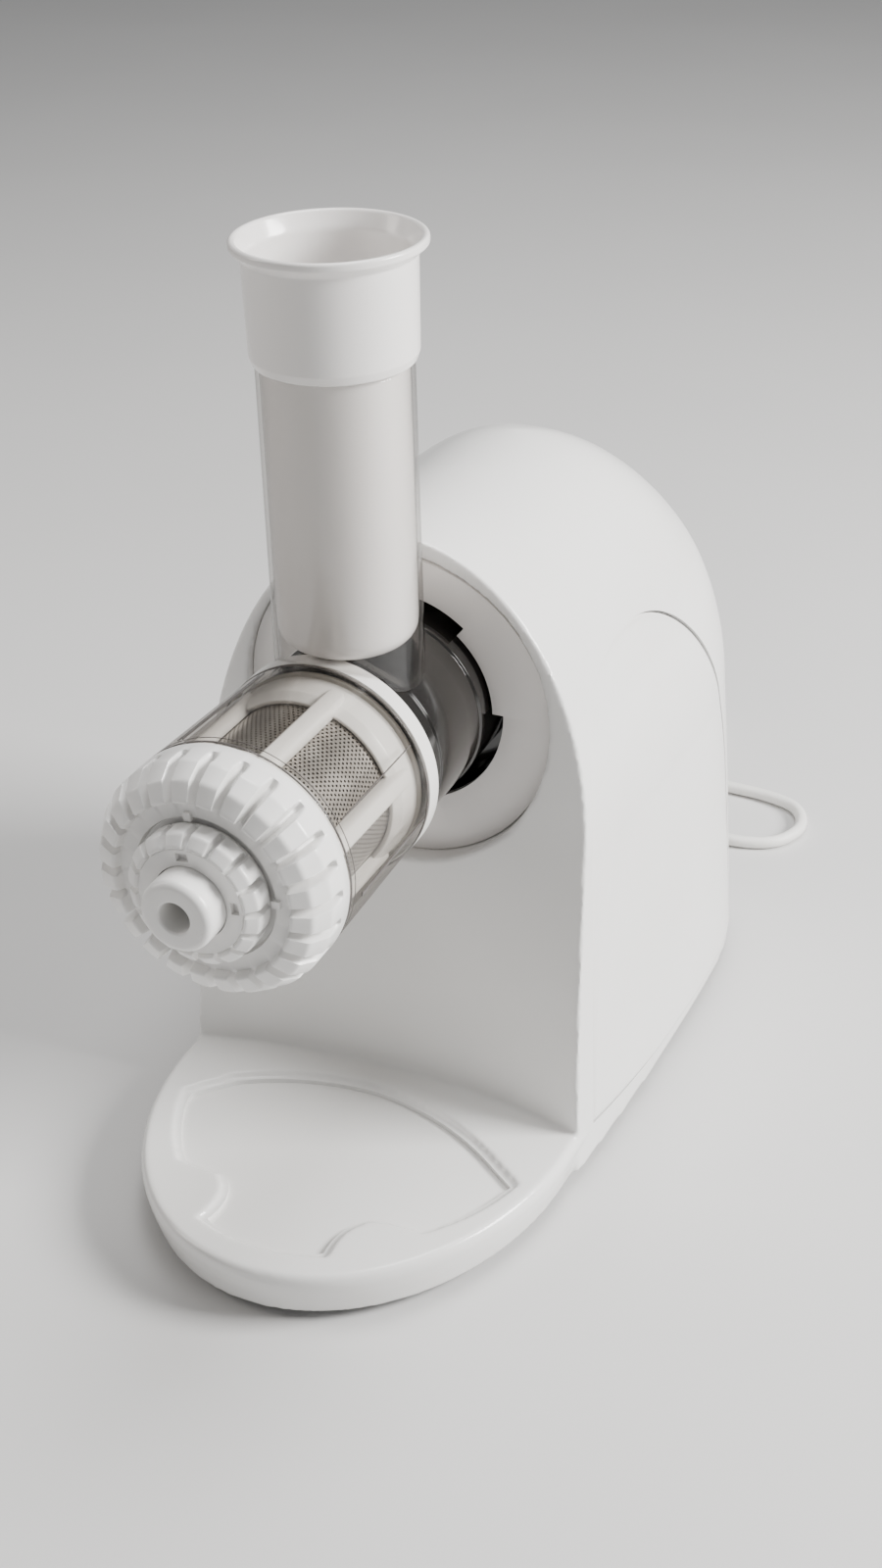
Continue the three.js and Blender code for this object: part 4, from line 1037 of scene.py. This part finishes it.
# ---------- ring nut, knob, nozzle ----------
CAP_FACE_Y, CAP_R, CAP_GRIPS = -101, 40.5, 24
KNOB_REAR, KNOB_GRIPS = -101.6, 16
NOZZLE_FRONT, NOZZLE_R, NOZZLE_BORE, NOZZLE_REAR = -119.7, 12.3, 5.2, -97.4
MARK_ANGLE = -8                    # degrees, where the first pointer stands


def gripped(name, count, base, raised, fixed_before, fixed_after, samples=24, floor=0.10, flank=0.26):
    """A turned skin whose middle stretch swells from the base profile to the raised one at each grip.

    floor is the groove's flat share of half a grip, and flank the share that its rounded wall takes.
    """
    profile_count = len(base)
    points, faces = [], []
    columns = count * samples
    for k in range(columns):
        u = 2 * ((k % samples) + 0.5) / samples - 1
        share = smooth((1 - abs(u) - floor) / flank) * (1 - 0.08 * u * u)
        turn = 2 * math.pi * k / columns
        column = list(fixed_before)
        column += [(a[0] + (b[0] - a[0]) * share, a[1] + (b[1] - a[1]) * share) for a, b in zip(base, raised)]
        column += list(fixed_after)
        points += [around_screw(r, y, turn) for r, y in column]
    rows = profile_count + len(fixed_before) + len(fixed_after)
    for k in range(columns):
        this, following = k * rows, (k + 1) % columns * rows
        for i in range(rows):
            n = (i + 1) % rows
            faces.append((this + i, following + i, following + n, this + n))
    return new_object(name, points, faces)


def spread(corners, steps):
    """The same number of points spread along each profile, so that two profiles can be mixed."""
    points = [Vector(c) for c in filleted(corners, steps=6)]
    lengths = [0.0]
    for a, b in zip(points, points[1:]):
        lengths.append(lengths[-1] + (b - a).length)
    out, k = [], 0
    for i in range(steps + 1):
        want = lengths[-1] * i / steps
        while k < len(points) - 2 and lengths[k + 1] < want:
            k += 1
        span = lengths[k + 1] - lengths[k] or 1
        out.append(tuple(points[k].lerp(points[k + 1], (want - lengths[k]) / span)))
    return out


def make_nut():
    face, rim = (29.6, CAP_FACE_Y, 0), (CAP_R, -88, 0)
    base = spread([face, (31.2, -99.4, 0.5), (34.8, -96.0, 2), (37.6, -89, 1), rim], 40)
    raised = spread([face, (30.4, -104.6, 1.0), (37.2, -101.6, 2.2), (40.6, -95.0, 2), rim], 40)
    hub = [(14.2, -95), (14.2, -99), (24, -99), (24.6, CAP_FACE_Y)]
    skirt = [(CAP_R, -83.8), (39.7, -83), (34, -83), (34, -95)]
    nut = gripped("cap_nut_fine", CAP_GRIPS, base, raised, hub, skirt)
    for degrees in (MARK_ANGLE, MARK_ANGLE + 97):
        join(nut, round_block("pointer", degrees, 1.2, (23.6, 26.4), (-100.5, -102.2)))
    finish_piece(nut, NUT_WHITE, "cap", "body_white", "cap_nut", sharp=50)


def make_knob():
    face = (18.2, -109.6, 0)
    base = spread([face, (19.0, -108.4, 0.4), (20.4, -104.6, 1), (21.2, KNOB_REAR, 0)], 24)
    raised = spread([face, (19.0, -111.0, 0.6), (23.0, -108.0, 1.4), (22.9, KNOB_REAR, 0)], 24)
    hub, back = [(12.6, -100.2), (12.6, -109.8), (18.0, -109.9)], [(22.4, -101.2), (22.2, -100.2)]
    knob = gripped("adjusting_knob_fine", KNOB_GRIPS, base, raised, hub, back, floor=0.08, flank=0.24)
    for degrees in (MARK_ANGLE + 2, MARK_ANGLE + 93):
        cut(knob, round_block("slot", degrees, 2.1, (14.2, 17.0), (-108.0, -112)))
    finish_piece(knob, NUT_WHITE, "knob", "body_white", "adjusting_knob", sharp=50)


def make_nozzle():
    profile = filleted([
        (NOZZLE_BORE, -118, 0), (5.4, NOZZLE_FRONT, 0.8), (NOZZLE_R, NOZZLE_FRONT, 2.6),
        (NOZZLE_R, -98.6, 0.2), (13.8, -98.6, 0.2), (13.8, NOZZLE_REAR, 0.2),
        (NOZZLE_BORE, NOZZLE_REAR, 0.2), (NOZZLE_BORE, -118, 0),
    ], steps=8)
    finish_piece(turned("nozzle_fine", profile, 96), NUT_WHITE, "cap", "trim_white", "nozzle")


# ---------- floor, world and the CAD nodes that stay ----------
FLOOR = new_material("floor", (0.66, 0.655, 0.65), 0.6, scale=3, tint=(0.645, 0.64, 0.635))
FLOOR_REACH = 6                    # metres
WORLD_COLOUR, WORLD_STRENGTH = (0.60, 0.61, 0.62, 1), 0.36


def make_floor():
    corners = [(-1, -1), (1, -1), (1, 1), (-1, 1)]
    mesh = bpy.data.meshes.new("floor")
    mesh.from_pydata([(x * FLOOR_REACH, y * FLOOR_REACH, 0) for x, y in corners], [], [(0, 1, 2, 3)])
    mesh.materials.append(FLOOR)
    floor = bpy.data.objects.new("floor", mesh)
    bpy.context.scene.collection.objects.link(floor)


def make_world():
    world = bpy.data.worlds.new("studio")
    world.use_nodes = True
    background = world.node_tree.nodes["Background"]
    background.inputs["Color"].default_value = WORLD_COLOUR
    background.inputs["Strength"].default_value = WORLD_STRENGTH
    bpy.context.scene.world = world


def paint_kept_nodes():
    slots = {part["node"]: part["material_slot"] for part in frame["record"]["subparts"]}
    for node, piece in frame["nodes"].items():
        piece.data.materials.clear()
        piece.data.materials.append(SLOT_MATERIALS[slots[node]])


# ---------- everything ----------
make_camera()
make_cord()
make_light("key", (1.35, 0.35, 0.95), (0.6, 0.6), 62, (1.0, 0.99, 0.975))
make_light("top", (0.1, 0.35, 1.7), (0.8, 0.8), 20)
make_light("left", (-1.2, -0.5, 0.9), (0.35, 1.0), 6, (1.0, 0.94, 0.88))
make_housing()
make_covers()
make_face_plate()
make_drum()
make_feed_tube()
make_pusher()
make_mesh()
make_strainer()
make_gasket()
make_sleeve()
make_sleeve_lines()
make_nut()
make_knob()
make_nozzle()

make_floor()
make_world()
paint_kept_nodes()

bpy.context.view_layer.update()
